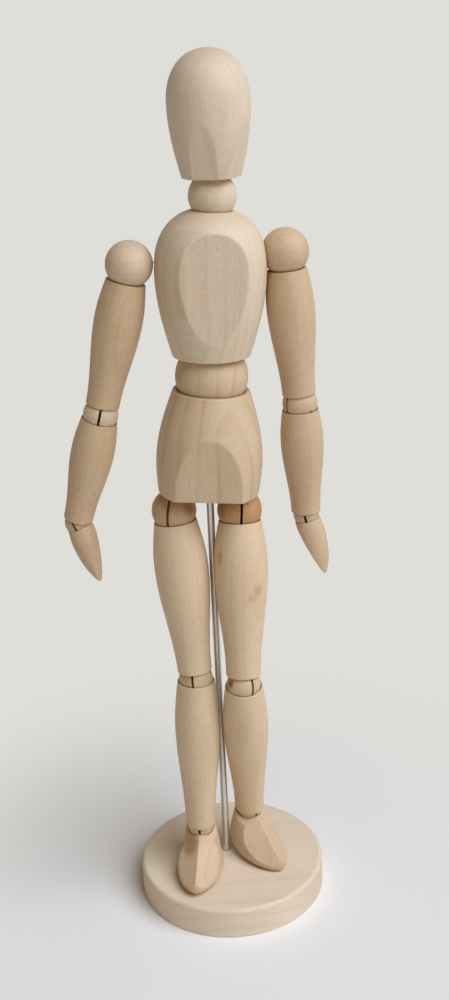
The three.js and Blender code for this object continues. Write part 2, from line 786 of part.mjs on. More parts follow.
function addLeg(side, across, drop, pose) {
  const hip = ballJoint(trunk, `${side}_hip`, across, 0, -drop, pose.hip);
  place(hip.ball, `${side}_hip_ball`, slottedBall(hipBallRadius, hipBallRadius * deepSlotShare), ballWood);
  const hipEye = place(trunk, `${side}_hip_eye`, stemEye("x", rad(pose.hip.turn)), wireSteel);
  hipEye.position.set(across, 0, -drop);
  place(hip.next, `${side}_thigh`, limb(thigh, hipBallRadius, kneeBallRadius), legWood);
  const kneeTurn = rad(pose.knee.turn);
  const thighSpring = limbSpring(thigh.length, eyeOffset, hipBallRadius, kneeBallRadius, kneeTurn);
  place(hip.next, `${side}_thigh_spring`, thighSpring, wireSteel);

  const knee = ballJoint(hip.next, `${side}_knee`, 0, 0, -thigh.length, pose.knee);
  place(knee.ball, `${side}_knee_ball`, slottedBall(kneeBallRadius, kneeBallRadius * deepSlotShare), ballWood);
  place(knee.next, `${side}_shin`, limb(shin, kneeBallRadius, ankleBallRadius), legWood);
  const ankleTurn = rad(pose.ankle.turn);
  const shinSpring = limbSpring(shin.length, eyeOffset, kneeBallRadius, ankleBallRadius, ankleTurn);
  place(knee.next, `${side}_shin_spring`, shinSpring, wireSteel);

  const ankle = ballJoint(knee.next, `${side}_ankle`, 0, 0, -shin.length, pose.ankle);
  place(ankle.ball, `${side}_ankle_ball`, slottedBall(ankleBallRadius, eyeEnd), ballWood);
  place(ankle.next, `${side}_foot`, footSolid(), legWood);
  place(ankle.next, `${side}_foot_eye`, upsideDown(stemEye("y")), wireSteel);
}

addArm("right", -1, rightArmPose);
addArm("left", 1, leftArmPose);
addLeg("right", rightHipAcross, rightHipDrop, rightLegPose);
addLeg("left", leftHipAcross, leftHipDrop, leftLegPose);

export default mannequin;
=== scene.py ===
"""Jointed wooden artist's mannequin on a round stand, seen from a little above.

Every piece is made in millimetres in its own frame, as a turner would draw it, then set into place
and written in metres. "left" and "right" are the figure's own, and the figure faces -Y.
"""

import json
import math

import bmesh
import bpy
from mathutils import Matrix, Vector


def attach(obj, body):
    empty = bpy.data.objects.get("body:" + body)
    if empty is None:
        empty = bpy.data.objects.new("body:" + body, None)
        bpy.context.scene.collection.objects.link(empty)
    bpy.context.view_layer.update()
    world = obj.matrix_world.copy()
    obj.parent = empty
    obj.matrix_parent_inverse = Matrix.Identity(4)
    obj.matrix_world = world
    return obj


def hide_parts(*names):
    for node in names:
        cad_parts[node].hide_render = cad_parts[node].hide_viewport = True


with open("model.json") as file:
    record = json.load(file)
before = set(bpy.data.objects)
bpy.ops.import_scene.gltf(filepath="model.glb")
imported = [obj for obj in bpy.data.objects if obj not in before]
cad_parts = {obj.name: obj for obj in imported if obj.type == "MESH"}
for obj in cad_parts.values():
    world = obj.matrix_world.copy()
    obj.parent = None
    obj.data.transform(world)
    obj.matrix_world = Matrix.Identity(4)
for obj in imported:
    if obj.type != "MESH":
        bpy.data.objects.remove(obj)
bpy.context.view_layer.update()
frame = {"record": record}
body_of_node = {
    node: body for body, nodes in frame["record"]["behaviour"]["bodies"].items() for node in nodes
}

# Sizes in millimetres

# BALL_GAP is the gap of a ball in its cup; the wrists and ankles sit closer by CLOSE_FIT.
MM_PER_METRE = 1000
BALL_GAP = 0.35
HOLE_GAP = 0.25
SLOT_GAP = 0.15

BASE_RADIUS, BASE_THICKNESS, BASE_EDGE_ROUND, BASE_FOOT_CHAMFER = 38, 13, 1.7, 0.7
ROD_RADIUS, ROD_ACROSS, ROD_BACK, ROD_SOCKET_DEPTH, ROD_REACH = 1.45, -2.2, 2.6, 9, 14

PELVIS_ACROSS, PELVIS_UNDERSIDE, PELVIS_HEIGHT = -2.5, 176, 39.5
PELVIS_FOOT_RADIUS, PELVIS_RADIUS, PELVIS_BULGE_HEIGHT, PELVIS_TOP_RADIUS = 18.9, 19.9, 12, 14.2
PELVIS_FLAT_SETBACK, PELVIS_FLAT_HEIGHT = 14.3, 25

WAIST_BALL_RADIUS, WAIST_HEIGHT = 13.4, 44.5
NECK_BALL_RADIUS, NECK_ACROSS, NECK_HEIGHT = 8.5, 0.8, 64.4

CHEST_UNDERSIDE, CHEST_FOOT_RADIUS, CHEST_RADIUS = 7.9, 14.2, 20.1
CHEST_BULGE_HEIGHT, CHEST_CROWN_HEIGHT, CHEST_FLAT_SETBACK = 39, 60.5, 16.1

HEAD_UNDERSIDE, HEAD_FOOT_RADIUS, HEAD_RADIUS = 6.3, 10.4, 14.45
HEAD_BULGE_HEIGHT, HEAD_CROWN_HEIGHT = 31.3, 48.6
CHEEK_SETBACK, CHEEK_HEIGHT, CHEEK_TURN = 9.4, 18.5, 37

SHOULDER_BALL_RADIUS, ELBOW_BALL_RADIUS, WRIST_BALL_RADIUS = 8.5, 6.5, 4.7
SHOULDERS = {"right": (-28.8, 41.2), "left": (26.6, 44.6)}
UPPER_ARM = dict(length=56.4, top_drop=6.2, top_radius=7.2, radius=8.75, end_drop=3.6, end_radius=6.2)
FOREARM = dict(length=45, top_drop=2.3, top_radius=6.8, radius=8.05, end_drop=1.6, end_radius=5.6)
HAND = dict(length=26.6, top_drop=1.65, top_radius=4.7, radius=5.6, palm_drop=4, palm_depth=4.4)
HAND_TIP = dict(drop=26.2, offset=1.9)

HIP_BALL_RADIUS, KNEE_BALL_RADIUS, ANKLE_BALL_RADIUS = 8.5, 6.7, 5
HIPS = {"right": (-12.95, 8.3), "left": (11.9, 7.4)}
THIGH = dict(length=70.2, top_drop=4.1, top_radius=8.2, radius=10.4, end_drop=3.9, end_radius=6.8)
SHIN = dict(length=67.9, top_drop=0.8, top_radius=7.4, radius=9, end_drop=1.2, end_radius=6.1)
FOOT = dict(height=15.5, ankle_radius=6.4, ankle_drop=1.4, heel_radius=8.1, heel_reach=7.6, radius=9.4)
FOOT_TOE = dict(bulge_reach=7.5, reach=25, ridge_start=6.3, ridge_end_height=3.2, roof_turn=33)

WIRE_RADIUS, EYE_RADIUS, EYE_OFFSET, HANGING_EYE_OFFSET = 0.35, 2.2, 1.6, 1.4
SPRING_RADIUS, SPRING_BORE, SPRING_STANDOFF, HOOK_RADIUS = 1.9, 2.6, 3, 1.2
STEM_DEPTH, PIN_LENGTH, PIN_HEAD_RADIUS, PIN_HEAD_THICKNESS = 9, 13.5, 1.05, 1
NECK_PIN_LENGTH, NECK_PIN_HEAD_RADIUS, NECK_SPRING_RADIUS, NECK_SLOT_SPAN = 17, 1.5, 1.15, 12
COLLAR_TOP, COLLAR_THICKNESS, LINK_HALF_LENGTH = 9.4, 1.5, 3.2

LIMB_EDGE = 0.3
LIMB_BULGE_SHARE = 0.3
HAND_BULGE_SHARE = 0.3
DEEP_SLOT_SHARE = 0.62
SAW_RUNOUT, SAW_RELIEF = 0.1, 0.3
CHEST_CROWN_POWER, HEAD_CROWN_POWER, TIP_POWER = 2.35, 2.16, 1.9
FOOT_TIP_POWER, HEEL_POWER, FOOT_RISE_SHARE = 1.7, 2.3, 1.4

CLOSE_FIT = 0.2
SLOT_WIDTH = 2 * (WIRE_RADIUS + SLOT_GAP)
EYE_END = EYE_RADIUS - EYE_OFFSET / 2 + WIRE_RADIUS + SLOT_GAP
EYE_SPAN = 2 * (EYE_RADIUS + WIRE_RADIUS + SLOT_GAP)

# Pose in degrees

PELVIS_LEAN = 4
WAIST = dict(turn=4.5, bend=0, sway=-2)
NECK = dict(turn=19.5, nod=0, lean=-2)
ARMS = {
    "right": dict(
        shoulder=dict(bend=2.1, sway=12.4),
        elbow=dict(turn=-6, bend=2.6, sway=1.4),
        wrist=dict(turn=80, bend=-36.8, sway=-0.2),
    ),
    "left": dict(
        shoulder=dict(bend=0.2, sway=-6.3),
        elbow=dict(turn=-58, bend=-0.7, sway=2.7),
        wrist=dict(turn=-45, bend=10.7, sway=-3.2),
    ),
}
LEGS = {
    "right": dict(
        hip=dict(turn=-16, bend=-1.1, sway=-8.7),
        knee=dict(turn=5, bend=1.9, sway=5.6),
        ankle=dict(turn=4.3, bend=0.6, sway=-1),
    ),
    "left": dict(
        hip=dict(turn=4, bend=-8, sway=-2.5),
        knee=dict(turn=27, bend=16.7, sway=-11.5),
        ankle=dict(turn=1.2, bend=-3.9, sway=6.7),
    ),
}

# Fineness

SIDES = 96
CUTTER_SIDES = 64
PROFILE_STEPS = 28
ROUND_STEPS = 5
WIRE_SIDES = 10
EYE_STEPS = 40
TURNS_PER_SPRING = 16
TURNS_PER_NECK_SPRING = 4
STEPS_PER_TURN = 20

# Grain of the sanding in millimetres, and how many times it passes
PELVIS_SANDING, CHEST_SANDING, HEAD_SANDING = (0.36, 3), (0.38, 3), (0.28, 2)
HAND_SANDING, FOOT_SANDING = (0.16, 2), (0.26, 5)


# Places


def shift(x, y, z):
    return Matrix.Translation((x, y, z))


def turn(axis, degrees):
    return Matrix.Rotation(math.radians(degrees), 4, axis)


def ball_joint(parent, at, pose):
    """The ball's frame in its parent's, and the frame of the piece that sways on the ball."""
    ball = parent @ shift(*at) @ turn("Z", pose["turn"]) @ turn("X", pose["bend"])
    return ball, ball @ turn("Y", pose["sway"])


# Mesh making


def new_piece(name, points, faces, edges=()):
    mesh = bpy.data.meshes.new(name)
    mesh.from_pydata(points, edges, faces)
    piece = bpy.data.objects.new(name, mesh)
    bpy.context.scene.collection.objects.link(piece)
    return piece


def lathe(name, rows, sides=SIDES, ring=False):
    """Rows of (radius, height) turned round Z, outer wall upwards. A ring's rows close on themselves."""
    points, faces, starts = [], [], []
    for radius, height in rows:
        starts.append(len(points))
        for side in range(sides if radius > 0 else 1):
            angle = 2 * math.pi * side / sides
            points.append((radius * math.cos(angle), radius * math.sin(angle), height))
    count = len(rows)
    for row in range(count if ring else count - 1):
        above = (row + 1) % count
        low, high = starts[row], starts[above]
        for side in range(sides):
            after = (side + 1) % sides
            if rows[row][0] == 0:
                faces.append((low, high + after, high + side))
            elif rows[above][0] == 0:
                faces.append((low + side, low + after, high))
            else:
                faces.append((low + side, low + after, high + after, high + side))
    return new_piece(name, points, faces)


def closed(rows):
    """Rows from the axis at the bottom to the axis at the top."""
    return [(0, rows[0][1])] + list(rows) + [(0, rows[-1][1])]


def round_rod(radius, bottom, top, sides=CUTTER_SIDES):
    return lathe("cutter", closed([(radius, bottom), (radius, top)]), sides)


def globe(radius, sides=CUTTER_SIDES):
    rows = []
    for step in range(sides // 2 + 1):
        angle = math.pi * step / (sides // 2)
        rows.append((radius * math.sin(angle), -radius * math.cos(angle)))
    rows[0], rows[-1] = (0, -radius), (0, radius)
    return lathe("cutter", rows, sides)


def block(low, high):
    """A box between two corners."""
    corners = [(x, y, z) for x in (low[0], high[0]) for y in (low[1], high[1]) for z in (low[2], high[2])]
    faces = [(0, 1, 3, 2), (4, 6, 7, 5), (0, 4, 5, 1), (2, 3, 7, 6), (0, 2, 6, 4), (1, 5, 7, 3)]
    return new_piece("cutter", corners, faces)


def slot_block(across_x, across_y, bottom, top):
    return block((-across_x / 2, -across_y / 2, bottom), (across_x / 2, across_y / 2, top))


def flat_block(size, setback, height, tilt):
    """A block whose back face is a sanding plane, leaning out by tilt as it rises."""
    made = block((-size / 2, -size, -size / 2), (size / 2, 0, size / 2))
    return moved(made, shift(0, -setback, height) @ Matrix.Rotation(tilt, 4, "X"))


def moved(piece, place):
    piece.data.transform(place)
    return piece


def settle(piece):
    """Makes the piece's modifiers part of its mesh."""
    seen = piece.evaluated_get(bpy.context.evaluated_depsgraph_get())
    mesh = bpy.data.meshes.new_from_object(seen)
    piece.modifiers.clear()
    piece.data = mesh
    return piece


def joined(body, cutters, operation):
    for cutter in cutters:
        tool = body.modifiers.new("saw", "BOOLEAN")
        tool.operation = operation
        tool.solver = "MANIFOLD"
        tool.object = cutter
    settle(body)
    for cutter in cutters:
        bpy.data.objects.remove(cutter)
    return body


def cut(body, *cutters):
    return joined(body, cutters, "DIFFERENCE")


def sanded(piece, grain, passes):
    """Softens every edge as sanding does, by about one grain size."""
    remesh = piece.modifiers.new("sand", "REMESH")
    remesh.mode = "VOXEL"
    remesh.voxel_size = grain
    soften = piece.modifiers.new("soften", "SMOOTH")
    soften.factor = 0.5
    soften.iterations = passes
    return settle(piece)


# Profiles


def shares(steps):
    return [step / steps for step in range(steps + 1)]


def quarter_wave(share):
    return math.sin(math.pi / 2 * share)


def swell(share, size):
    """A limb's radius from its top to its end: a quick rise to the bulge, then a slow fall."""
    if share < LIMB_BULGE_SHARE:
        rise = quarter_wave(share / LIMB_BULGE_SHARE)
        return size["top_radius"] + (size["radius"] - size["top_radius"]) * rise
    fall = (share - LIMB_BULGE_SHARE) / (1 - LIMB_BULGE_SHARE)
    half_wave = 0.5 + 0.5 * math.cos(math.pi * fall)
    return size["end_radius"] + (size["radius"] - size["end_radius"]) * half_wave


def crown_rows(radius, bulge, crown, power):
    """A dome from the bulge to the crown, with the crown on the axis."""
    rows = []
    for share in shares(PROFILE_STEPS)[1:]:
        angle = math.pi / 2 * share
        height = bulge + (crown - bulge) * math.sin(angle) ** (2 / power)
        rows.append((radius * math.cos(angle) ** (2 / power), height))
    rows[-1] = (0, crown)
    return rows


def flank_rows(foot_radius, underside, radius, bulge):
    rows = []
    for share in shares(PROFILE_STEPS):
        height = underside + (bulge - underside) * share
        rows.append((foot_radius + (radius - foot_radius) * quarter_wave(share), height))
    return rows


def pelvis_radius_at(height):
    if height < PELVIS_BULGE_HEIGHT:
        share = height / PELVIS_BULGE_HEIGHT
        return PELVIS_FOOT_RADIUS + (PELVIS_RADIUS - PELVIS_FOOT_RADIUS) * quarter_wave(share)
    share = (PELVIS_HEIGHT - height) / (PELVIS_HEIGHT - PELVIS_BULGE_HEIGHT)
    return PELVIS_TOP_RADIUS + (PELVIS_RADIUS - PELVIS_TOP_RADIUS) * quarter_wave(share)


def head_radius_at(height):
    share = (height - HEAD_UNDERSIDE) / (HEAD_BULGE_HEIGHT - HEAD_UNDERSIDE)
    return HEAD_FOOT_RADIUS + (HEAD_RADIUS - HEAD_FOOT_RADIUS) * quarter_wave(share)


def cup_rows(ball_radius, rim_drop):
    """A cup from its bore out to its rim, as heights towards the ball's centre."""
    radius = ball_radius + BALL_GAP
    start = math.asin(SPRING_BORE / radius)
    end = math.acos(rim_drop / radius)
    angles = [start + (end - start) * share for share in shares(14)]
    return [(radius * math.sin(angle), radius * math.cos(angle)) for angle in angles]


# Turned limbs and balls


def limb(size, upper_ball, lower_ball):
    """From the upper ball's centre down to the lower one's, with softened rims, bored for its spring."""
    top = -size["top_drop"]
    bottom = size["end_drop"] - size["length"]
    rows = []
    for share in shares(ROUND_STEPS)[:-1]:
        angle = math.pi / 2 * share
        inset = LIMB_EDGE * (1 - math.sin(angle))
        rows.append((size["end_radius"] - inset, bottom + LIMB_EDGE * (1 - math.cos(angle))))
    low, high = bottom + LIMB_EDGE, top - LIMB_EDGE
    for share in reversed(shares(2 * PROFILE_STEPS)):
        rows.append((swell(share, size), high + (low - high) * share))
    for share in shares(ROUND_STEPS)[1:]:
        angle = math.pi / 2 * share
        inset = LIMB_EDGE * (1 - math.cos(angle))
        rows.append((size["top_radius"] - inset, high + LIMB_EDGE * math.sin(angle)))
    rows += [(radius, -height) for radius, height in reversed(cup_rows(upper_ball, size["top_drop"]))]
    rows += [(radius, height - size["length"]) for radius, height in cup_rows(lower_ball, size["end_drop"])]
    return lathe("limb", rows, ring=True)


def slotted_ball(nominal_radius):
    """A close ball. The parent's eye swings in a slot across X, and the next piece's in one across Y."""
    radius = nominal_radius + CLOSE_FIT
    beyond = radius + 1
    return cut(
        globe(radius, SIDES),
        slot_block(SLOT_WIDTH, 2 * beyond, -EYE_END, beyond),
        slot_block(2 * beyond, SLOT_WIDTH, -beyond, EYE_END),
    )


def deep_slotted_ball(radius):
    """Its lower slot is cut with a small round saw, so that it ends below the rim and hardly shows."""
    beyond = radius + 1
    saw = round_rod(radius + SAW_RUNOUT, -SLOT_WIDTH / 2, SLOT_WIDTH / 2, SIDES)
    saw_height = EYE_END + SAW_RELIEF - radius - SAW_RUNOUT
    return cut(
        globe(radius, SIDES),
        slot_block(SLOT_WIDTH, 2 * beyond, -radius * DEEP_SLOT_SHARE, beyond),
        moved(saw, shift(0, 0, saw_height) @ turn("X", 90)),
    )


def waist_ball():
    beyond = WAIST_BALL_RADIUS + 1
    return cut(
        globe(WAIST_BALL_RADIUS, SIDES),
        slot_block(SLOT_WIDTH, WAIST_BALL_RADIUS, -beyond, EYE_END),
        slot_block(WAIST_BALL_RADIUS, SLOT_WIDTH, -EYE_END, beyond),
    )


def neck_ball():
    beyond = NECK_BALL_RADIUS + 1
    return cut(
        globe(NECK_BALL_RADIUS, SIDES),
        slot_block(EYE_SPAN, SLOT_WIDTH, -beyond, EYE_END),
        slot_block(SLOT_WIDTH, NECK_SLOT_SPAN, -EYE_RADIUS, beyond),
    )


def shoulder_ball(outward):
    beyond = SHOULDER_BALL_RADIUS + 1
    pocket_end = WIRE_RADIUS + SLOT_GAP
    near, far = sorted((outward * pocket_end, -outward * beyond))
    return cut(
        globe(SHOULDER_BALL_RADIUS, SIDES),
        block((near, -EYE_SPAN / 2, -SLOT_WIDTH / 2), (far, EYE_SPAN / 2, SLOT_WIDTH / 2)),
        slot_block(2 * beyond, SLOT_WIDTH, -beyond, EYE_SPAN / 2),
    )


def stem_hole(down=False):
    depth = EYE_OFFSET + EYE_RADIUS + STEM_DEPTH + HOLE_GAP
    return round_rod(WIRE_RADIUS + HOLE_GAP, -depth if down else 0, 0 if down else depth, 16)


# Stand


def base_disc():
    rows = [(BASE_RADIUS - BASE_FOOT_CHAMFER, 0)]
    for share in shares(ROUND_STEPS):
        angle = math.pi / 2 * share
        inset = BASE_FOOT_CHAMFER * (1 - math.sin(angle))
        rows.append((BASE_RADIUS - inset, BASE_FOOT_CHAMFER * (1 - math.cos(angle))))
    for share in shares(2 * ROUND_STEPS):
        angle = math.pi / 2 * share
        inset = BASE_EDGE_ROUND * (1 - math.cos(angle))
        rows.append((BASE_RADIUS - inset, BASE_THICKNESS - BASE_EDGE_ROUND * (1 - math.sin(angle))))
    disc = lathe("disc", closed(rows[1:]), 2 * SIDES)
    socket = round_rod(ROD_RADIUS + HOLE_GAP, BASE_THICKNESS - ROD_SOCKET_DEPTH, BASE_THICKNESS + 1)
    return cut(disc, moved(socket, shift(ROD_ACROSS, ROD_BACK, 0)))


def support_rod():
    bottom = BASE_THICKNESS - ROD_SOCKET_DEPTH + HOLE_GAP
    top = PELVIS_UNDERSIDE + ROD_REACH
    chamfer = LIMB_EDGE
    rows = [
        (ROD_RADIUS - chamfer, bottom),
        (ROD_RADIUS, bottom + chamfer),
        (ROD_RADIUS, top - chamfer),
        (ROD_RADIUS - chamfer, top),
    ]
    return lathe("rod", closed(rows), CUTTER_SIDES)


# Trunk


def pelvis():
    heights = [PELVIS_HEIGHT * share for share in shares(2 * PROFILE_STEPS)]
    rows = [(pelvis_radius_at(height), height) for height in heights]
    lean = math.atan2(pelvis_radius_at(PELVIS_FLAT_HEIGHT) - PELVIS_FLAT_SETBACK, PELVIS_FLAT_HEIGHT)
    rod_hole = round_rod(ROD_RADIUS + HOLE_GAP, -ROD_REACH, ROD_REACH + HOLE_GAP)
    cutters = [
        flat_block(3 * PELVIS_RADIUS, PELVIS_FLAT_SETBACK, 0, lean),
        moved(globe(WAIST_BALL_RADIUS + BALL_GAP, SIDES), shift(0, 0, WAIST_HEIGHT)),
        moved(stem_hole(down=True), shift(0, 0, WAIST_HEIGHT)),
        moved(rod_hole, turn("Y", -PELVIS_LEAN) @ shift(ROD_ACROSS - PELVIS_ACROSS, ROD_BACK, 0)),
    ]
    for across, drop in HIPS.values():
        cutters.append(moved(globe(HIP_BALL_RADIUS + BALL_GAP), shift(across, 0, -drop)))
        cutters.append(moved(stem_hole(), shift(across, 0, -drop)))
    return sanded(cut(lathe("pelvis", closed(rows)), *cutters), *PELVIS_SANDING)


SHOULDER_SPAN = math.dist(SHOULDERS["left"], SHOULDERS["right"])
SHOULDER_TILT = math.atan2(
    SHOULDERS["left"][1] - SHOULDERS["right"][1], SHOULDERS["left"][0] - SHOULDERS["right"][0]
)
SHOULDER_MIDDLE = (
    (SHOULDERS["left"][0] + SHOULDERS["right"][0]) / 2,
    (SHOULDERS["left"][1] + SHOULDERS["right"][1]) / 2,
)
SHOULDER_LINE_HEIGHT = SHOULDER_MIDDLE[1] - SHOULDER_MIDDLE[0] * math.tan(SHOULDER_TILT)
ALONG_SHOULDERS = shift(SHOULDER_MIDDLE[0], 0, SHOULDER_MIDDLE[1]) @ Matrix.Rotation(-SHOULDER_TILT, 4, "Y")


def chest():
    rows = flank_rows(CHEST_FOOT_RADIUS, CHEST_UNDERSIDE, CHEST_RADIUS, CHEST_BULGE_HEIGHT)
    rows += crown_rows(CHEST_RADIUS, CHEST_BULGE_HEIGHT, CHEST_CROWN_HEIGHT, CHEST_CROWN_POWER)
    neck_bore_end = NECK_HEIGHT - NECK_PIN_LENGTH - HOLE_GAP
    cross_bore = round_rod(SPRING_BORE, -CHEST_RADIUS - 1, CHEST_RADIUS + 1)
    cutters = [
        flat_block(3 * CHEST_RADIUS + CHEST_CROWN_HEIGHT, CHEST_FLAT_SETBACK, CHEST_BULGE_HEIGHT, 0),
        globe(WAIST_BALL_RADIUS + BALL_GAP, SIDES),
        moved(globe(NECK_BALL_RADIUS + BALL_GAP), shift(NECK_ACROSS, 0, NECK_HEIGHT)),
        round_rod(SPRING_BORE, 0, SHOULDER_LINE_HEIGHT + SPRING_BORE),
        moved(round_rod(SPRING_BORE, neck_bore_end, NECK_HEIGHT), shift(NECK_ACROSS, 0, 0)),
        moved(cross_bore, ALONG_SHOULDERS @ turn("Y", 90)),
    ]
    for side in (-1, 1):
        dish = globe(SHOULDER_BALL_RADIUS + BALL_GAP, SIDES)
        cutters.append(moved(dish, ALONG_SHOULDERS @ shift(side * SHOULDER_SPAN / 2, 0, 0)))
    return sanded(cut(lathe("chest", [(0, CHEST_UNDERSIDE)] + rows), *cutters), *CHEST_SANDING)


def head():
    rows = flank_rows(HEAD_FOOT_RADIUS, HEAD_UNDERSIDE, HEAD_RADIUS, HEAD_BULGE_HEIGHT)
    rows += crown_rows(HEAD_RADIUS, HEAD_BULGE_HEIGHT, HEAD_CROWN_HEIGHT, HEAD_CROWN_POWER)
    lean = math.atan2(head_radius_at(HEAD_UNDERSIDE + CHEEK_HEIGHT) - CHEEK_SETBACK, CHEEK_HEIGHT)
    cutters = [globe(NECK_BALL_RADIUS + BALL_GAP), moved(stem_hole(), turn("Y", -NECK["lean"]))]
    for side in (-1, 1):
        cheek = flat_block(3 * HEAD_RADIUS, CHEEK_SETBACK, HEAD_UNDERSIDE, lean)
        cutters.append(moved(cheek, turn("Z", side * CHEEK_TURN)))
    return sanded(cut(lathe("head", [(0, HEAD_UNDERSIDE)] + rows), *cutters), *HEAD_SANDING)


# Hands and feet


def hand():
    top = -HAND["top_drop"]
    bulge = top - (HAND["length"] - HAND["top_drop"]) * HAND_BULGE_SHARE
    rows = list(reversed(crown_rows(HAND["radius"], bulge, -HAND["length"], TIP_POWER)))
    rows += list(reversed(flank_rows(HAND["top_radius"], top, HAND["radius"], bulge)))
    tilt = math.atan2(HAND["palm_depth"] + HAND_TIP["offset"], HAND_TIP["drop"] - HAND["palm_drop"])
    palm = flat_block(3 * HAND["length"], HAND["palm_depth"], -HAND["palm_drop"], tilt)
    cup = globe(WRIST_BALL_RADIUS + BALL_GAP)
    body = lathe("hand", rows + [(0, top)])
    return sanded(cut(body, palm, cup, stem_hole(down=True)), *HAND_SANDING)


def foot():
    """Half an egg that lies on the sole, a heel below the ankle, and two flats that meet in a ridge."""
    sole = -FOOT["height"]
    toe = crown_rows(FOOT["radius"], -FOOT_TOE["bulge_reach"], -FOOT_TOE["reach"], FOOT_TIP_POWER)
    heel_end = crown_rows(FOOT["radius"], -FOOT_TOE["bulge_reach"], FOOT["heel_reach"], HEEL_POWER)
    rows = list(reversed(toe)) + [(FOOT["radius"], -FOOT_TOE["bulge_reach"])] + heel_end
    lying = Matrix.Diagonal((1, 1, FOOT_RISE_SHARE, 1)) @ turn("X", -90)
    egg = moved(lathe("foot", rows), shift(0, 0, sole) @ lying)
    heel_rows = []
    for share in shares(PROFILE_STEPS):
        flare = (FOOT["heel_radius"] - FOOT["ankle_radius"]) * math.cos(math.pi / 2 * share)
        heel_rows.append((FOOT["ankle_radius"] + flare, sole - 1 + (1 - sole - FOOT["ankle_drop"]) * share))
    heel = lathe("heel", closed(heel_rows))
    body = joined(egg, [heel], "UNION")
    ridge_drop = FOOT["height"] - FOOT_TOE["ridge_end_height"] - FOOT["ankle_drop"]
    ridge_turn = math.atan2(FOOT_TOE["reach"] - FOOT_TOE["ridge_start"], ridge_drop)
    cutters = []
    for side in (-1, 1):
        flat = flat_block(3 * FOOT_TOE["reach"], 0, 0, 0)
        place = Matrix.Rotation(-ridge_turn, 4, "X") @ turn("Z", side * FOOT_TOE["roof_turn"])
        cutters.append(moved(flat, shift(0, -FOOT_TOE["ridge_start"], -FOOT["ankle_drop"]) @ place))
    span = 3 * FOOT_TOE["reach"]
    cutters += [
        slot_block(span, span, 2 * sole, sole),
        slot_block(span, span, -FOOT["ankle_drop"], FOOT["height"]),
        globe(ANKLE_BALL_RADIUS + BALL_GAP),
        stem_hole(down=True),
    ]
    return sanded(cut(body, *cutters), *FOOT_SANDING)


# Wires, pins and springs


def ring_path(radius, centre, facing, turned=0):
    """A closed wire eye whose plane holds the Z axis, or a hook that lies square to it."""
    angles = [2 * math.pi * step / EYE_STEPS for step in range(EYE_STEPS)]
    flat = [Vector((radius * math.cos(angle), radius * math.sin(angle), 0)) for angle in angles]
    tip = {"x": turn("Y", 90), "y": turn("X", 90), "z": Matrix.Identity(4)}[facing]
    place = shift(0, 0, centre) @ turn("Z", turned) @ tip
    return [place @ point for point in flat], True


def stem_path(low, high):
    return [Vector((0, 0, low)), Vector((0, 0, high))], False


def coil_path(low, high, radius, low_radius=0, high_radius=0, turns=TURNS_PER_SPRING):
    """A spring's winding, whose ends wind in to their own radii."""
    points = []
    count = turns * STEPS_PER_TURN
    for step in range(count + 1):
        share = step / count
        start = low_radius + (radius - low_radius) * min(1, share * turns)
        end = high_radius + (radius - high_radius) * min(1, (1 - share) * turns)
        angle = 2 * math.pi * turns * share
        now = min(start, end)
        points.append(Vector((now * math.cos(angle), now * math.sin(angle), low + (high - low) * share)))
    return points, False


def wire_tree():
    """Draws a round wire of a given radius along every path."""
    tree = bpy.data.node_groups.new("drawn_wire", "GeometryNodeTree")
    tree.interface.new_socket("Paths", in_out="INPUT", socket_type="NodeSocketGeometry")
    tree.interface.new_socket("Wire Radius", in_out="INPUT", socket_type="NodeSocketFloat")
    tree.interface.new_socket("Sides", in_out="INPUT", socket_type="NodeSocketInt")
    tree.interface.new_socket("Finish", in_out="INPUT", socket_type="NodeSocketMaterial")
    tree.interface.new_socket("Wire", in_out="OUTPUT", socket_type="NodeSocketGeometry")
    given = tree.nodes.new("NodeGroupInput")
    path = tree.nodes.new("GeometryNodeMeshToCurve")
    section = tree.nodes.new("GeometryNodeCurvePrimitiveCircle")
    sweep = tree.nodes.new("GeometryNodeCurveToMesh")
    smooth = tree.nodes.new("GeometryNodeSetShadeSmooth")
    realize = tree.nodes.new("GeometryNodeRealizeInstances")
    finish = tree.nodes.new("GeometryNodeSetMaterial")
    out = tree.nodes.new("NodeGroupOutput")
    sweep.inputs["Fill Caps"].default_value = True
    link = tree.links.new
    link(given.outputs["Paths"], path.inputs["Mesh"])
    link(given.outputs["Wire Radius"], section.inputs["Radius"])
    link(given.outputs["Sides"], section.inputs["Resolution"])
    link(path.outputs["Curve"], sweep.inputs["Curve"])
    link(section.outputs["Curve"], sweep.inputs["Profile Curve"])
    link(sweep.outputs["Mesh"], smooth.inputs["Geometry"])
    link(smooth.outputs["Geometry"], realize.inputs["Geometry"])
    link(realize.outputs["Geometry"], finish.inputs["Geometry"])
    link(given.outputs["Finish"], finish.inputs["Material"])
    link(finish.outputs["Geometry"], out.inputs["Wire"])
    return tree


def set_input(modifier, tree, name, value):
    socket = next(item for item in tree.interface.items_tree if item.name == name and item.in_out == "INPUT")
    modifier[socket.identifier] = value


def bent_wire(tree, finish, *paths):
    points, edges = [], []
    for path, cyclic in paths:
        first = len(points)
        points += path
        edges += [(first + step, first + step + 1) for step in range(len(path) - 1)]
        if cyclic:
            edges.append((len(points) - 1, first))
    piece = new_piece("wire", points, [], edges)
    modifier = piece.modifiers.new("drawn_wire", "NODES")
    modifier.node_group = tree
    set_input(modifier, tree, "Wire Radius", WIRE_RADIUS)
    set_input(modifier, tree, "Sides", WIRE_SIDES)
    set_input(modifier, tree, "Finish", finish)
    return settle(piece)


def stem_eye(facing, turned=0, down=False):
    side = -1 if down else 1
    stem = sorted((side * (EYE_OFFSET + EYE_RADIUS), side * (EYE_OFFSET + EYE_RADIUS + STEM_DEPTH)))
    return ring_path(EYE_RADIUS, side * EYE_OFFSET, facing, turned), stem_path(*stem)


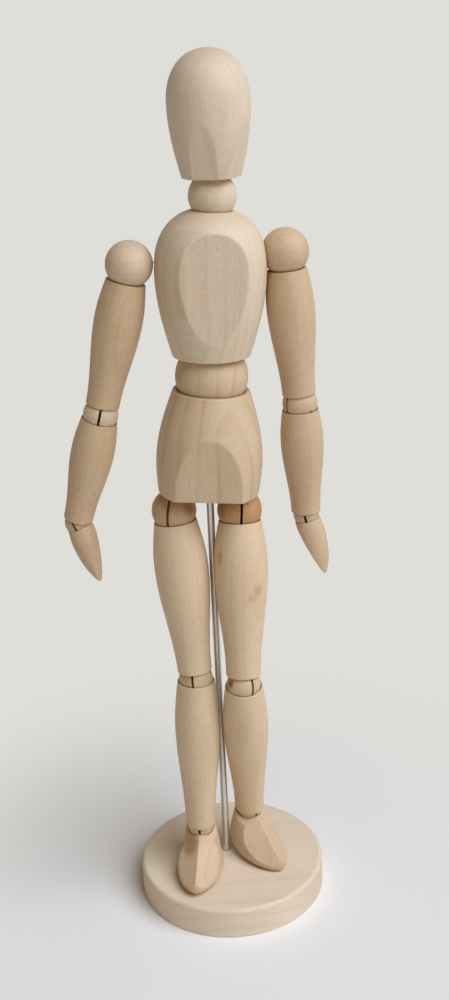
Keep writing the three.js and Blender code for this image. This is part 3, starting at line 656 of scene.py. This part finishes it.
def limb_spring(length, upper_eye, upper_ball, lower_ball, lower_turn):
    top = -upper_ball - SPRING_STANDOFF
    bottom = lower_ball + SPRING_STANDOFF - length
    return (
        coil_path(top, bottom, SPRING_RADIUS),
        stem_path(top, -upper_eye - EYE_RADIUS),
        stem_path(EYE_OFFSET + EYE_RADIUS - length, bottom),
        ring_path(EYE_RADIUS, -upper_eye, "y"),
        ring_path(EYE_RADIUS, EYE_OFFSET - length, "x", lower_turn),
    )


def neck_spring():
    """Pressed between the collar and the pin's head, it draws the neck ball down into the chest."""
    top = -COLLAR_TOP - COLLAR_THICKNESS - WIRE_RADIUS - SLOT_GAP
    bottom = PIN_HEAD_THICKNESS - NECK_PIN_LENGTH + WIRE_RADIUS + SLOT_GAP
    radius = NECK_SPRING_RADIUS
    return coil_path(bottom, top, radius, radius, radius, TURNS_PER_NECK_SPRING)


def shoulder_spring():
    """Two coils along Z, hooked behind the pins' heads and joined by a straight wire in the middle."""
    hook_at = SHOULDER_SPAN / 2 - PIN_LENGTH + WIRE_RADIUS + SLOT_GAP
    half, _ = coil_path(hook_at, LINK_HALF_LENGTH, SPRING_RADIUS, HOOK_RADIUS)
    other_half = [turn("X", 180) @ point for point in half]
    return (
        (half, False),
        (other_half, False),
        stem_path(-LINK_HALF_LENGTH - WIRE_RADIUS, LINK_HALF_LENGTH + WIRE_RADIUS),
        ring_path(HOOK_RADIUS, hook_at, "z"),
        ring_path(HOOK_RADIUS, -hook_at, "z"),
    )


def spine_spring():
    low = WAIST_BALL_RADIUS + SPRING_STANDOFF
    high = SHOULDER_LINE_HEIGHT - EYE_RADIUS - SPRING_STANDOFF
    return (
        coil_path(low, high, SPRING_RADIUS),
        stem_path(EYE_OFFSET + EYE_RADIUS, low),
        stem_path(high, SHOULDER_LINE_HEIGHT - EYE_RADIUS),
        ring_path(EYE_RADIUS, EYE_OFFSET, "y"),
        ring_path(EYE_RADIUS, SHOULDER_LINE_HEIGHT, "x"),
    )


# Materials


def srgb(code):
    """A hex colour as linear RGBA."""
    values = [int(code[at : at + 2], 16) / 255 for at in (1, 3, 5)]
    linear = [v / 12.92 if v <= 0.04045 else ((v + 0.055) / 1.055) ** 2.4 for v in values]
    return (*linear, 1)


def add(tree, kind, inputs=None, **settings):
    """A new node with its settings, and its inputs as values or as sockets to link."""
    node = tree.nodes.new(kind)
    for name, value in settings.items():
        setattr(node, name, value)
    for name, value in (inputs or {}).items():
        socket = node.inputs[name]
        if isinstance(value, bpy.types.NodeSocket):
            tree.links.new(value, socket)
        else:
            socket.default_value = value
    return node


def maths(tree, operation, *values):
    """The result of one step of arithmetic."""
    return add(tree, "ShaderNodeMath", dict(enumerate(values)), operation=operation).outputs["Value"]


def vectors(tree, operation, *values):
    made = add(tree, "ShaderNodeVectorMath", dict(enumerate(values)), operation=operation)
    return made.outputs["Value" if operation in ("LENGTH", "DOT_PRODUCT") else "Vector"]


def ranged(tree, value, span, reach=(0, 1), eased=False):
    """Takes a value from its span to a reach, in a straight line or eased at both ends."""
    limits = {"From Min": span[0], "From Max": span[1], "To Min": reach[0], "To Max": reach[1]}
    curve = "SMOOTHSTEP" if eased else "LINEAR"
    made = add(tree, "ShaderNodeMapRange", {"Value": value, **limits}, interpolation_type=curve)
    return made.outputs["Result"]


def blended(tree, share, under, over):
    inputs = {"Factor": share, "A": under, "B": over}
    return add(tree, "ShaderNodeMix", inputs, data_type="RGBA").outputs["Result"]


def finish(tree, colour, relief, depth, strength, roughness, **settings):
    """The surface itself, with a relief of the given depth in metres."""
    bump = add(tree, "ShaderNodeBump", {"Height": relief, "Distance": depth, "Strength": strength})
    look = {"Base Color": colour, "Roughness": roughness, "Normal": bump.outputs["Normal"], **settings}
    shader = add(tree, "ShaderNodeBsdfPrincipled", look)
    add(tree, "ShaderNodeOutputMaterial", {"Surface": shader.outputs["BSDF"]})


def new_material(name):
    material = bpy.data.materials.new(name)
    material.use_nodes = True
    material.node_tree.nodes.clear()
    return material, material.node_tree


# Basswood is close and even: a pale sapwood ground, faint growth rings a few millimetres apart, a fine
# straight fibre and short darker flecks. The pieces are turned, sanded and left nearly bare, so the
# light spreads softly and faint turning marks run round them. Sizes are in millimetres in the log's
# frame, whose Z runs along the grain. The fibre is drawn two or three times its real width to show.
RING_SPACING = 4.2
FIBRE_WIDTH, FIBRE_LENGTH = 0.4, 6
FLECK_WIDTH, FLECK_LENGTH = 0.4, 1.6
TOOL_MARK_PITCH = 0.45
BLOTCH_SIZE = 11
WANDER_SIZE, WANDER_DEPTH = 30, 6
FIGURE_PATCH = 22
FIBRE_RELIEF = 0.00005
SPECKLE_SIZE = 0.45
SCUFFED_FIBRE = "#a8755a"
DRAW_MARK_STRETCH = 60
DRAW_MARK_RELIEF = 0.000004

# Knots and stains in the wood, painted shade on the hip balls' inner tops under the pelvis, and a darker
# brown patch on the right foot's outer side: place on the piece, reach across and along the grain, strength
# and tone.
# The feet's places are in a frame whose Z runs along the foot.
WOOD_MARKS_AND_PAINTED_SHADE = {
    "right_forearm": [((3.9, -5.5, -29.5), 0.55, 0.8, 0.8, "#8a6238")],
    "left_upper_arm": [((5.2, -4.6, -40.6), 0.6, 0.8, 0.6, "#94693e")],
    "left_thigh": [
        ((5.6, -8.5, -29.8), 2.9, 3.6, 0.6, "#bd8d4c"),
        ((3.2, -9.5, -32.9), 2.4, 2.6, 0.45, "#bd8d4c"),
        ((-8.4, -5.7, -17.2), 1.8, 4.4, 0.5, "#a8794a"),
    ],
    "left_knee_ball": [((-6.5, 0.1, 1.7), 2.3, 3.2, 1, "#85591f")],
    # Painted shade: darker brown on the hip balls' inner tops, under the pelvis and between the legs.
    "right_hip_ball": [((6.6, -3.8, 3.8), 3.4, 6, 0.6, "#8f6236")],
    "left_hip_ball": [((-7.1, -4.2, 2.2), 3, 6, 0.7, "#8f6236")],
    # A darker brown patch on the right foot's outer side, towards the toe.
    "right_foot": [((-3.9, -4.6, 7.5), 5.6, 9, 0.8, "#a8733c")],
}


# Where each noise or facing begins and ends to count, and how much of the darker tone it then brings
RING_PALE = 0.15
RING_RISE = ((0.55, 0.35), (0.86, 1))
RING_DRIFT_ALONG = 0.06
PATCH_RANGE, PATCH_LOWEST = (0.35, 0.65), 0.3
FIBRE_RANGE, FIBRE_SHARE = (0.38, 0.66), 0.42
FLECK_RANGE, FLECK_SHARE = (0.56, 0.74), 0.3
END_GRAIN_RANGE, END_GRAIN_SHARE = (0.55, 1), 0.7
FLAT_RANGE = (0.985, 0.998)
SPECKLE_RANGE, SPECKLE_SHARE = (0.4, 0.6), 0.24
TOOL_MARK_LENGTH, TOOL_MARK_SHARE, BLOTCH_SHARE = 30, 0.35, 0.4
RAGGED_SIZE, RAGGED_DEPTH, MARK_CORE = (1.8, 3), (1.6, 1.6, 2.4), 0.3
SHEEN_RANGE, WOOD_ROUGHNESS = (0.3, 0.7), (0.5, 0.66)
TOOL_MARK_RELIEF, FLECK_RELIEF, RELIEF_STRENGTH = 0.5, -0.6, 0.6


def basswood(
    name,
    place,
    from_pith,
    light,
    dark,
    end_grain,
    figure=0.3,
    ring_spacing=RING_SPACING,
    marks=(),
    rubbed=None,
):
    """place is the piece's frame, and from_pith its origin seen from the log's centre line.

    figure is how strongly the rings show, marks are knots, stains, painted shade and darker patches,
    and rubbed is the direction that a cross-sanded flat faces.
    """
    material, tree = new_material(name)
    into_log = place.to_3x3().transposed()
    start = Vector(from_pith) - into_log @ place.translation
    coordinates = add(tree, "ShaderNodeTexCoord").outputs
    frame_in_log = {"Location": start, "Rotation": into_log.to_euler(), "Scale": (MM_PER_METRE,) * 3}
    log = add(tree, "ShaderNodeMapping", {"Vector": coordinates["Object"], **frame_in_log}).outputs["Vector"]

    def stretched(across, along):
        return vectors(tree, "MULTIPLY", log, (1 / across, 1 / across, 1 / along))

    def noise(vector, detail, roughness=0.5):
        settings = {"Vector": vector, "Scale": 1, "Detail": detail, "Roughness": roughness}
        return add(tree, "ShaderNodeTexNoise", settings).outputs

    def facing(direction):
        return vectors(tree, "DOT_PRODUCT", coordinates["Normal"], direction)

    # Growth rings: distance from a wandering pith
    wander = noise(stretched(WANDER_SIZE, 3 * WANDER_SIZE), 2)["Color"]
    centred = vectors(tree, "SUBTRACT", wander, (0.5, 0.5, 0.5))
    swing = vectors(tree, "MULTIPLY_ADD", centred, (2 * WANDER_DEPTH, 2 * WANDER_DEPTH, 0), log)
    distance = vectors(tree, "LENGTH", vectors(tree, "MULTIPLY", swing, (1, 1, RING_DRIFT_ALONG)))
    year = maths(tree, "FRACT", maths(tree, "DIVIDE", distance, ring_spacing))
    ring = add(tree, "ShaderNodeValToRGB", {"Fac": year})
    ring.color_ramp.interpolation = "EASE"
    stops = ring.color_ramp.elements
    for stop, position in ((stops[0], 0), (stops[1], 1)):
        stop.position, stop.color = position, (RING_PALE, RING_PALE, RING_PALE, 1)
    for position, level in RING_RISE:
        stops.new(position).color = (level, level, level, 1)

    # Fibre, flecks, slow blotches, and the faint marks of the turning tool
    fibre = noise(stretched(FIBRE_WIDTH, FIBRE_LENGTH), 3, 0.6)["Fac"]
    flecks = ranged(tree, noise(stretched(FLECK_WIDTH, FLECK_LENGTH), 1)["Fac"], FLECK_RANGE, eased=True)
    blotch = noise(stretched(BLOTCH_SIZE, 2 * BLOTCH_SIZE), 2)["Fac"]
    tool_marks = noise(stretched(TOOL_MARK_LENGTH, TOOL_MARK_PITCH), 2)["Fac"]

    # The rings show in some places and fade in others
    patch_noise = noise(stretched(FIGURE_PATCH, 2 * FIGURE_PATCH), 1)["Fac"]
    patch = ranged(tree, patch_noise, PATCH_RANGE, (PATCH_LOWEST * figure, figure))
    figured = maths(tree, "MULTIPLY", ring.outputs["Color"], patch)
    marked = maths(tree, "MULTIPLY_ADD", tool_marks, TOOL_MARK_SHARE, figured)
    tinted = maths(tree, "MULTIPLY_ADD", blotch, BLOTCH_SHARE, marked)
    colour = blended(tree, tinted, srgb(light), srgb(dark))
    colour = blended(tree, ranged(tree, fibre, FIBRE_RANGE, (0, FIBRE_SHARE)), colour, srgb(dark))
    colour = blended(tree, maths(tree, "MULTIPLY", flecks, FLECK_SHARE), colour, srgb(end_grain))

    # End grain drinks more of the finish where a face lies across the fibres
    across_grain = maths(tree, "ABSOLUTE", facing(place.to_3x3() @ Vector((0, 0, 1))))
    end_share = ranged(tree, across_grain, END_GRAIN_RANGE, (0, END_GRAIN_SHARE), eased=True)
    colour = blended(tree, end_share, colour, srgb(end_grain))

    # Coarse paper leaves a flat speckled where it scuffed the fibres
    if rubbed:
        flat = ranged(tree, facing(place.to_3x3() @ Vector(rubbed)), FLAT_RANGE, eased=True)
        speckle_noise = noise(stretched(SPECKLE_SIZE, 1.6 * SPECKLE_SIZE), 2, 0.7)["Fac"]
        speckle = ranged(tree, speckle_noise, SPECKLE_RANGE, (0, SPECKLE_SHARE))
        colour = blended(tree, maths(tree, "MULTIPLY", flat, speckle), colour, srgb(SCUFFED_FIBRE))

    # Knots, stains, painted shade and darker patches have ragged edges
    ragged_noise = noise(stretched(*RAGGED_SIZE), 2)["Color"]
    ragged = vectors(tree, "MULTIPLY_ADD", ragged_noise, RAGGED_DEPTH, log)
    for at, across, along, strength, tone in marks:
        away = vectors(tree, "SUBTRACT", ragged, Vector(at) + Vector(from_pith) + 0.5 * Vector(RAGGED_DEPTH))
        reach = vectors(tree, "LENGTH", vectors(tree, "MULTIPLY", away, (1 / across, 1 / across, 1 / along)))
        share = ranged(tree, reach, (MARK_CORE, 1), (strength, 0), eased=True)
        colour = blended(tree, share, colour, srgb(tone))

    relief = maths(tree, "MULTIPLY_ADD", tool_marks, TOOL_MARK_RELIEF, fibre)
    relief = maths(tree, "MULTIPLY_ADD", flecks, FLECK_RELIEF, relief)
    roughness = ranged(tree, fibre, SHEEN_RANGE, WOOD_ROUGHNESS)
    finish(tree, colour, relief, FIBRE_RELIEF, RELIEF_STRENGTH, roughness, IOR=1.5)
    return material


def bright_steel(name, colour, roughness, mark_width):
    """Drawn steel or turned brass, nearly bare: a mirror with faint marks along the draw."""
    material, tree = new_material(name)
    coordinates = add(tree, "ShaderNodeTexCoord").outputs["Object"]
    across, along = MM_PER_METRE / mark_width, MM_PER_METRE / (DRAW_MARK_STRETCH * mark_width)
    marks = add(tree, "ShaderNodeMapping", {"Vector": coordinates, "Scale": (across, across, along)})
    noise = add(tree, "ShaderNodeTexNoise", {"Vector": marks.outputs["Vector"], "Scale": 1, "Detail": 2})
    grain = noise.outputs["Fac"]
    spread = ranged(tree, grain, SHEEN_RANGE, (roughness, 1.6 * roughness))
    finish(tree, srgb(colour), grain, DRAW_MARK_RELIEF, 0.4, spread, Metallic=1)
    return material


# Assembly

# The rod and the wires are drawn steel; the collar is a turned brass ferrule.
rod_steel = bright_steel("drawn_steel_rod", "#e2e1de", 0.34, 0.12)
spring_steel = bright_steel("spring_wire", "#a9a6a0", 0.3, 0.06)
ferrule_brass = bright_steel("turned_brass", "#b99b5c", 0.32, 0.1)
wire_nodes = wire_tree()

SHARP_EDGE = math.radians(32)


def seat(piece, node, place, material):
    """Sets a finished piece into its place in metres, in place of its CAD node."""
    piece.name = f"{node}_fine"
    piece.data.name = piece.name
    piece.data.transform(Matrix.Scale(1 / MM_PER_METRE, 4) @ place)
    shell = bmesh.new()
    shell.from_mesh(piece.data)
    bmesh.ops.remove_doubles(shell, verts=shell.verts, dist=1e-7)
    bmesh.ops.recalc_face_normals(shell, faces=shell.faces)
    shell.to_mesh(piece.data)
    shell.free()
    piece.data.shade_smooth()
    piece.data.set_sharp_from_angle(angle=SHARP_EDGE)
    piece.data.materials.clear()
    piece.data.materials.append(material)
    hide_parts(node)
    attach(piece, body_of_node[node])
    return piece


def seat_wood(piece, node, place, material):
    return seat(piece, node, place, material)


def seat_wire(node, place, *paths):
    return seat(bent_wire(wire_nodes, spring_steel, *paths), node, place, spring_steel)


def seat_pin(node, place, head, *paths):
    """A wire pin with its turned head welded on."""
    pin = joined(head, [bent_wire(wire_nodes, spring_steel, *paths)], "UNION")
    return seat(pin, node, place, spring_steel)


# Stand and rod
stand_log = shift(0, 0, BASE_THICKNESS / 2) @ turn("Y", 90)
stand_wood = basswood("basswood_stand", stand_log, (34, 6, 0), "#efe2cd", "#dcc5a8", "#dac3a6", 0.35, 5.5)
seat(base_disc(), "base_disc", shift(0, 0, 0), stand_wood)
seat(support_rod(), "support_rod", shift(ROD_ACROSS, ROD_BACK, 0), rod_steel)

# Trunk
trunk = shift(PELVIS_ACROSS, 0, PELVIS_UNDERSIDE) @ turn("Y", PELVIS_LEAN)
waist_ball_frame, chest_frame = ball_joint(trunk, (0, 0, WAIST_HEIGHT), WAIST)
# The pelvis's fibre slants a little, which is why its rings show as arches on the front.
pelvis_log = trunk @ turn("X", 6)
pelvis_wood = basswood(
    "basswood_pelvis", pelvis_log, (-13, 20.9, 30), "#e0ccae", "#c3a27a", "#c4a47e", 0.8, 7
)
chest_tones = "#e7d9c1", "#cfb594", "#d2b99a"
chest_wood = basswood(
    "basswood_chest", chest_frame, (16, 30, -10), *chest_tones, 0.45, 4.2, rubbed=(0, -1, 0)
)
waist_wood = basswood(
    "basswood_waist_ball", waist_ball_frame, (-12, 9, 4), "#e0ccae", "#c2a178", "#c4a47c", 0.75, 6.5
)
seat_wood(pelvis(), "pelvis", trunk, pelvis_wood)
seat_wood(waist_ball(), "waist_ball", waist_ball_frame, waist_wood)
seat_wood(chest(), "chest", chest_frame, chest_wood)
waist_eye_frame = trunk @ shift(0, 0, WAIST_HEIGHT) @ turn("Z", WAIST["turn"])
seat_wire("waist_eye", waist_eye_frame, *stem_eye("x", down=True))
seat_wire("spine_spring", chest_frame, *spine_spring())

# Neck and head
neck_seat = chest_frame @ shift(NECK_ACROSS, 0, NECK_HEIGHT)
neck_frame = neck_seat @ turn("Z", NECK["turn"])
head_pivot = neck_frame @ turn("X", NECK["nod"])
head_frame = head_pivot @ turn("Y", NECK["lean"])
neck_wood = basswood("basswood_neck_ball", neck_frame, (8, 5, 0), "#e7d8c1", "#d2b797", "#d0b595", 0.3)
head_wood = basswood("basswood_head", head_frame, (4, 22, -40), "#e5d7c1", "#d0b696", "#ceb496", 0.35, 4.4)
seat_wood(neck_ball(), "neck_ball", neck_frame, neck_wood)
seat_wood(head(), "head", head_frame, head_wood)
seat_wire("head_eye", head_pivot, *stem_eye("x"))
neck_pin_head = PIN_HEAD_THICKNESS - NECK_PIN_LENGTH
seat_pin(
    "neck_pin",
    neck_frame,
    round_rod(NECK_PIN_HEAD_RADIUS, -NECK_PIN_LENGTH, neck_pin_head, 32),
    stem_path(neck_pin_head - WIRE_RADIUS, -EYE_OFFSET - EYE_RADIUS),
    ring_path(EYE_RADIUS, -EYE_OFFSET, "y"),
)
collar = round_rod(SPRING_BORE - HOLE_GAP, -COLLAR_TOP - COLLAR_THICKNESS, -COLLAR_TOP)
collar = cut(collar, round_rod(WIRE_RADIUS + HOLE_GAP, -NECK_PIN_LENGTH, 0, 32))
seat(collar, "neck_collar", neck_seat, ferrule_brass)
seat_wire("neck_spring", neck_seat, neck_spring())

# Shoulders and limbs
shoulder_line = chest_frame @ ALONG_SHOULDERS
seat_wire("shoulder_spring", shoulder_line @ turn("Y", 90), *shoulder_spring())


# A wood's tones: pale wood, dark wood and end grain
ARM_BALL_TONES = {"right": ("#e4d2b7", "#cbac87", "#c9a984"), "left": ("#dac4a4", "#be9a73", "#bc9871")}
HIP_BALL_TONES = {"right": ("#d6b78f", "#b38c62", "#ab8258"), "left": ("#cfa475", "#a77845", "#9f6f3e")}
LEG_BALL_TONES = ("#e0caa8", "#c3a076", "#bf9a70")
FOOT_TONES = ("#e0cbae", "#c7a47e", "#c7a47e")


def fit_wood(side, part, piece, place, from_pith, tones, figure=0.25, grain=None):
    """Seats a limb's piece. grain is the frame of its fibre, where that isn't the piece's own."""
    marks = WOOD_MARKS_AND_PAINTED_SHADE.get(f"{side}_{part}", ())
    wood = basswood(f"basswood_{side}_{part}", grain or place, from_pith, *tones, figure, marks=marks)
    seat_wood(piece, f"{side}_{part}", place, wood)


def fit_spring(side, part, place, size, upper_ball, lower_ball, lower_turn, upper_eye=EYE_OFFSET):
    spring = limb_spring(size["length"], upper_eye, upper_ball, lower_ball, lower_turn)
    seat_wire(f"{side}_{part}_spring", place, *spring)


def fit_arm(side, outward, pose, light, dark):
    shoulder = shoulder_line @ shift(outward * SHOULDER_SPAN / 2, 0, 0) @ turn("X", pose["shoulder"]["bend"])
    arm = shoulder @ turn("Y", pose["shoulder"]["sway"] + math.degrees(SHOULDER_TILT))
    elbow, lower_arm = ball_joint(arm, (0, 0, -UPPER_ARM["length"]), pose["elbow"])
    wrist, palm = ball_joint(lower_arm, (0, 0, -FOREARM["length"]), pose["wrist"])
    tones, ball_tones = (light, dark, dark), ARM_BALL_TONES[side]
    across_ball = shoulder @ turn("Y", 90)
    ball = shoulder_ball(outward)
    fit_wood(side, "shoulder_ball", ball, shoulder, (9 * outward, 7, 3), ball_tones, grain=across_ball)
    seat_pin(
        f"{side}_shoulder_pin",
        shoulder @ turn("Y", -90 * outward),
        round_rod(PIN_HEAD_RADIUS, PIN_LENGTH, PIN_LENGTH + PIN_HEAD_THICKNESS, 32),
        stem_path(2 * EYE_RADIUS, PIN_LENGTH + WIRE_RADIUS),
        ring_path(EYE_RADIUS, EYE_RADIUS, "x"),
    )
    upper = limb(UPPER_ARM, SHOULDER_BALL_RADIUS, ELBOW_BALL_RADIUS)
    fit_wood(side, "upper_arm", upper, arm, (14 * outward, 18, 20), tones)
    fit_wood(side, "elbow_ball", deep_slotted_ball(ELBOW_BALL_RADIUS), elbow, (7, 6, 0), ball_tones)
    lower = limb(FOREARM, ELBOW_BALL_RADIUS, WRIST_BALL_RADIUS)
    fit_wood(side, "forearm", lower, lower_arm, (-16 * outward, 15, -8), tones)
    fit_wood(side, "wrist_ball", slotted_ball(WRIST_BALL_RADIUS), wrist, (6, -5, 0), tones)
    fit_wood(side, "hand", hand(), palm, (10, 12 * outward, 5), tones)

    elbow_turn, wrist_turn = pose["elbow"]["turn"], pose["wrist"]["turn"]
    upper_balls = SHOULDER_BALL_RADIUS, ELBOW_BALL_RADIUS
    fit_spring(side, "upper_arm", arm, UPPER_ARM, *upper_balls, elbow_turn, HANGING_EYE_OFFSET)
    fit_spring(side, "forearm", lower_arm, FOREARM, ELBOW_BALL_RADIUS, WRIST_BALL_RADIUS, wrist_turn)
    seat_wire(f"{side}_hand_eye", palm, *stem_eye("y", down=True))


def fit_leg(side, pose, light, dark):
    across, drop = HIPS[side]
    hip, thigh_frame = ball_joint(trunk, (across, 0, -drop), pose["hip"])
    knee, shin_frame = ball_joint(thigh_frame, (0, 0, -THIGH["length"]), pose["knee"])
    ankle, foot_frame = ball_joint(shin_frame, (0, 0, -SHIN["length"]), pose["ankle"])
    outward = math.copysign(1, across)
    tones = (light, dark, dark)
    hip_ball = deep_slotted_ball(HIP_BALL_RADIUS)
    fit_wood(side, "hip_ball", hip_ball, hip, (10, 8 * outward, 0), HIP_BALL_TONES[side], 0.5)
    upper = limb(THIGH, HIP_BALL_RADIUS, KNEE_BALL_RADIUS)
    fit_wood(side, "thigh", upper, thigh_frame, (-20 * outward, 16, 30), tones)
    knee_ball = deep_slotted_ball(KNEE_BALL_RADIUS)
    fit_wood(side, "knee_ball", knee_ball, knee, (8, 7 * outward, 0), LEG_BALL_TONES, 0.4)
    lower = limb(SHIN, KNEE_BALL_RADIUS, ANKLE_BALL_RADIUS)
    fit_wood(side, "shin", lower, shin_frame, (15 * outward, 20, -15), tones)
    fit_wood(side, "ankle_ball", slotted_ball(ANKLE_BALL_RADIUS), ankle, (6, 6, 0), LEG_BALL_TONES)
    along_foot = foot_frame @ turn("X", 90)
    fit_wood(side, "foot", foot(), foot_frame, (10 * outward, 9, 0), FOOT_TONES, 0.4, along_foot)

    hip_eye_frame = trunk @ shift(across, 0, -drop)
    seat_wire(f"{side}_hip_eye", hip_eye_frame, *stem_eye("x", pose["hip"]["turn"]))
    knee_turn, ankle_turn = pose["knee"]["turn"], pose["ankle"]["turn"]
    fit_spring(side, "thigh", thigh_frame, THIGH, HIP_BALL_RADIUS, KNEE_BALL_RADIUS, knee_turn)
    fit_spring(side, "shin", shin_frame, SHIN, KNEE_BALL_RADIUS, ANKLE_BALL_RADIUS, ankle_turn)
    seat_wire(f"{side}_foot_eye", foot_frame, *stem_eye("y", down=True))


fit_arm("right", -1, ARMS["right"], "#dac19e", "#bd9a6f")
fit_arm("left", 1, ARMS["left"], "#d9c09f", "#bf9c73")
fit_leg("right", LEGS["right"], "#e5d1b1", "#d0b089")
fit_leg("left", LEGS["left"], "#e6d0b0", "#d0af87")

# Floor, light and camera

PALE_GROUND = "#dfded9"
FLOOR_TONE = "#f4f3ee"
FLOOR_RADIUS = 4
FLOOR_FADE = (0.035, 0.2)
FIGURE_MIDDLE = (0, 0, 0.17)


def seen_directly(tree):
    """1 where the camera looks, straight or by a mirrored or bent ray, and 0 for the light itself."""
    rays = add(tree, "ShaderNodeLightPath").outputs
    mirrored = maths(tree, "MAXIMUM", rays["Is Glossy Ray"], rays["Is Transmission Ray"])
    return maths(tree, "MAXIMUM", rays["Is Camera Ray"], mirrored)


def pale_floor():
    """A plain floor that takes the shadow near the stand and fades into the background further out."""
    material, tree = new_material("pale_floor")
    from_stand = vectors(tree, "LENGTH", add(tree, "ShaderNodeTexCoord").outputs["Object"])
    share = maths(tree, "MULTIPLY", seen_directly(tree), ranged(tree, from_stand, FLOOR_FADE, eased=True))
    matt = add(tree, "ShaderNodeBsdfDiffuse", {"Color": srgb(FLOOR_TONE)}).outputs["BSDF"]
    glow = add(tree, "ShaderNodeEmission", {"Color": srgb(PALE_GROUND), "Strength": 1}).outputs["Emission"]
    blend = add(tree, "ShaderNodeMixShader", {"Fac": share, 1: matt, 2: glow})
    add(tree, "ShaderNodeOutputMaterial", {"Surface": blend.outputs["Shader"]})
    floor = lathe("floor", [(FLOOR_RADIUS, 0), (0, 0)], SIDES)
    floor.data.materials.append(material)


def plain_world(strength, colour):
    """Even light all round, with the pale background where the camera looks past the floor."""
    world = bpy.data.worlds.new("studio")
    bpy.context.scene.world = world
    world.use_nodes = True
    tree = world.node_tree
    tree.nodes.clear()
    ambient = add(tree, "ShaderNodeBackground", {"Color": srgb(colour), "Strength": strength})
    backdrop = add(tree, "ShaderNodeBackground", {"Color": srgb(PALE_GROUND), "Strength": 1})
    sources = {1: ambient.outputs["Background"], 2: backdrop.outputs["Background"]}
    blend = add(tree, "ShaderNodeMixShader", {"Fac": seen_directly(tree), **sources})
    add(tree, "ShaderNodeOutputWorld", {"Surface": blend.outputs["Shader"]})


def soft_lamp(name, at, aim, size, watts, colour):
    data = bpy.data.lights.new(name, "AREA")
    data.shape = "DISK"
    data.size = size
    data.energy = watts
    data.color = srgb(colour)[:3]
    lamp = bpy.data.objects.new(name, data)
    lamp.location = at
    lamp.rotation_euler = (Vector(aim) - Vector(at)).to_track_quat("-Z", "Y").to_euler()
    bpy.context.scene.collection.objects.link(lamp)


CAMERA_AT = (0.0033241, -0.4439504, 0.33654)
CAMERA_DIP, CAMERA_ROLL = 0.3553, -0.0436
SENSOR_WIDTH, LENS_LENGTH = 36, 45


def view_from_front():
    """The photograph's view: level with the chest, looking down at the feet, tipped a little."""
    camera = bpy.data.objects.new("camera", bpy.data.cameras.new("camera"))
    camera.data.sensor_width = SENSOR_WIDTH
    camera.data.lens = LENS_LENGTH
    forward = Vector((0, math.cos(CAMERA_DIP), -math.sin(CAMERA_DIP)))
    level = Vector((1, 0, 0))
    upright = level.cross(forward)
    right = math.cos(CAMERA_ROLL) * level + math.sin(CAMERA_ROLL) * upright
    up = math.cos(CAMERA_ROLL) * upright - math.sin(CAMERA_ROLL) * level
    facing = Matrix((right, up, -forward)).transposed().to_4x4()
    camera.matrix_world = Matrix.Translation(CAMERA_AT) @ facing
    bpy.context.scene.collection.objects.link(camera)
    bpy.context.scene.camera = camera


pale_floor()
plain_world(0.165, "#f4dcb2")
soft_lamp("window", (1.5, -1.1, 2.37), FIGURE_MIDDLE, size=2.8, watts=103, colour="#e9f0ff")
soft_lamp("room", (-2, -1.6, 1.3), FIGURE_MIDDLE, size=2.4, watts=1.6, colour="#ffd9a8")
view_from_front()
bpy.context.scene.view_settings.view_transform = "Standard"
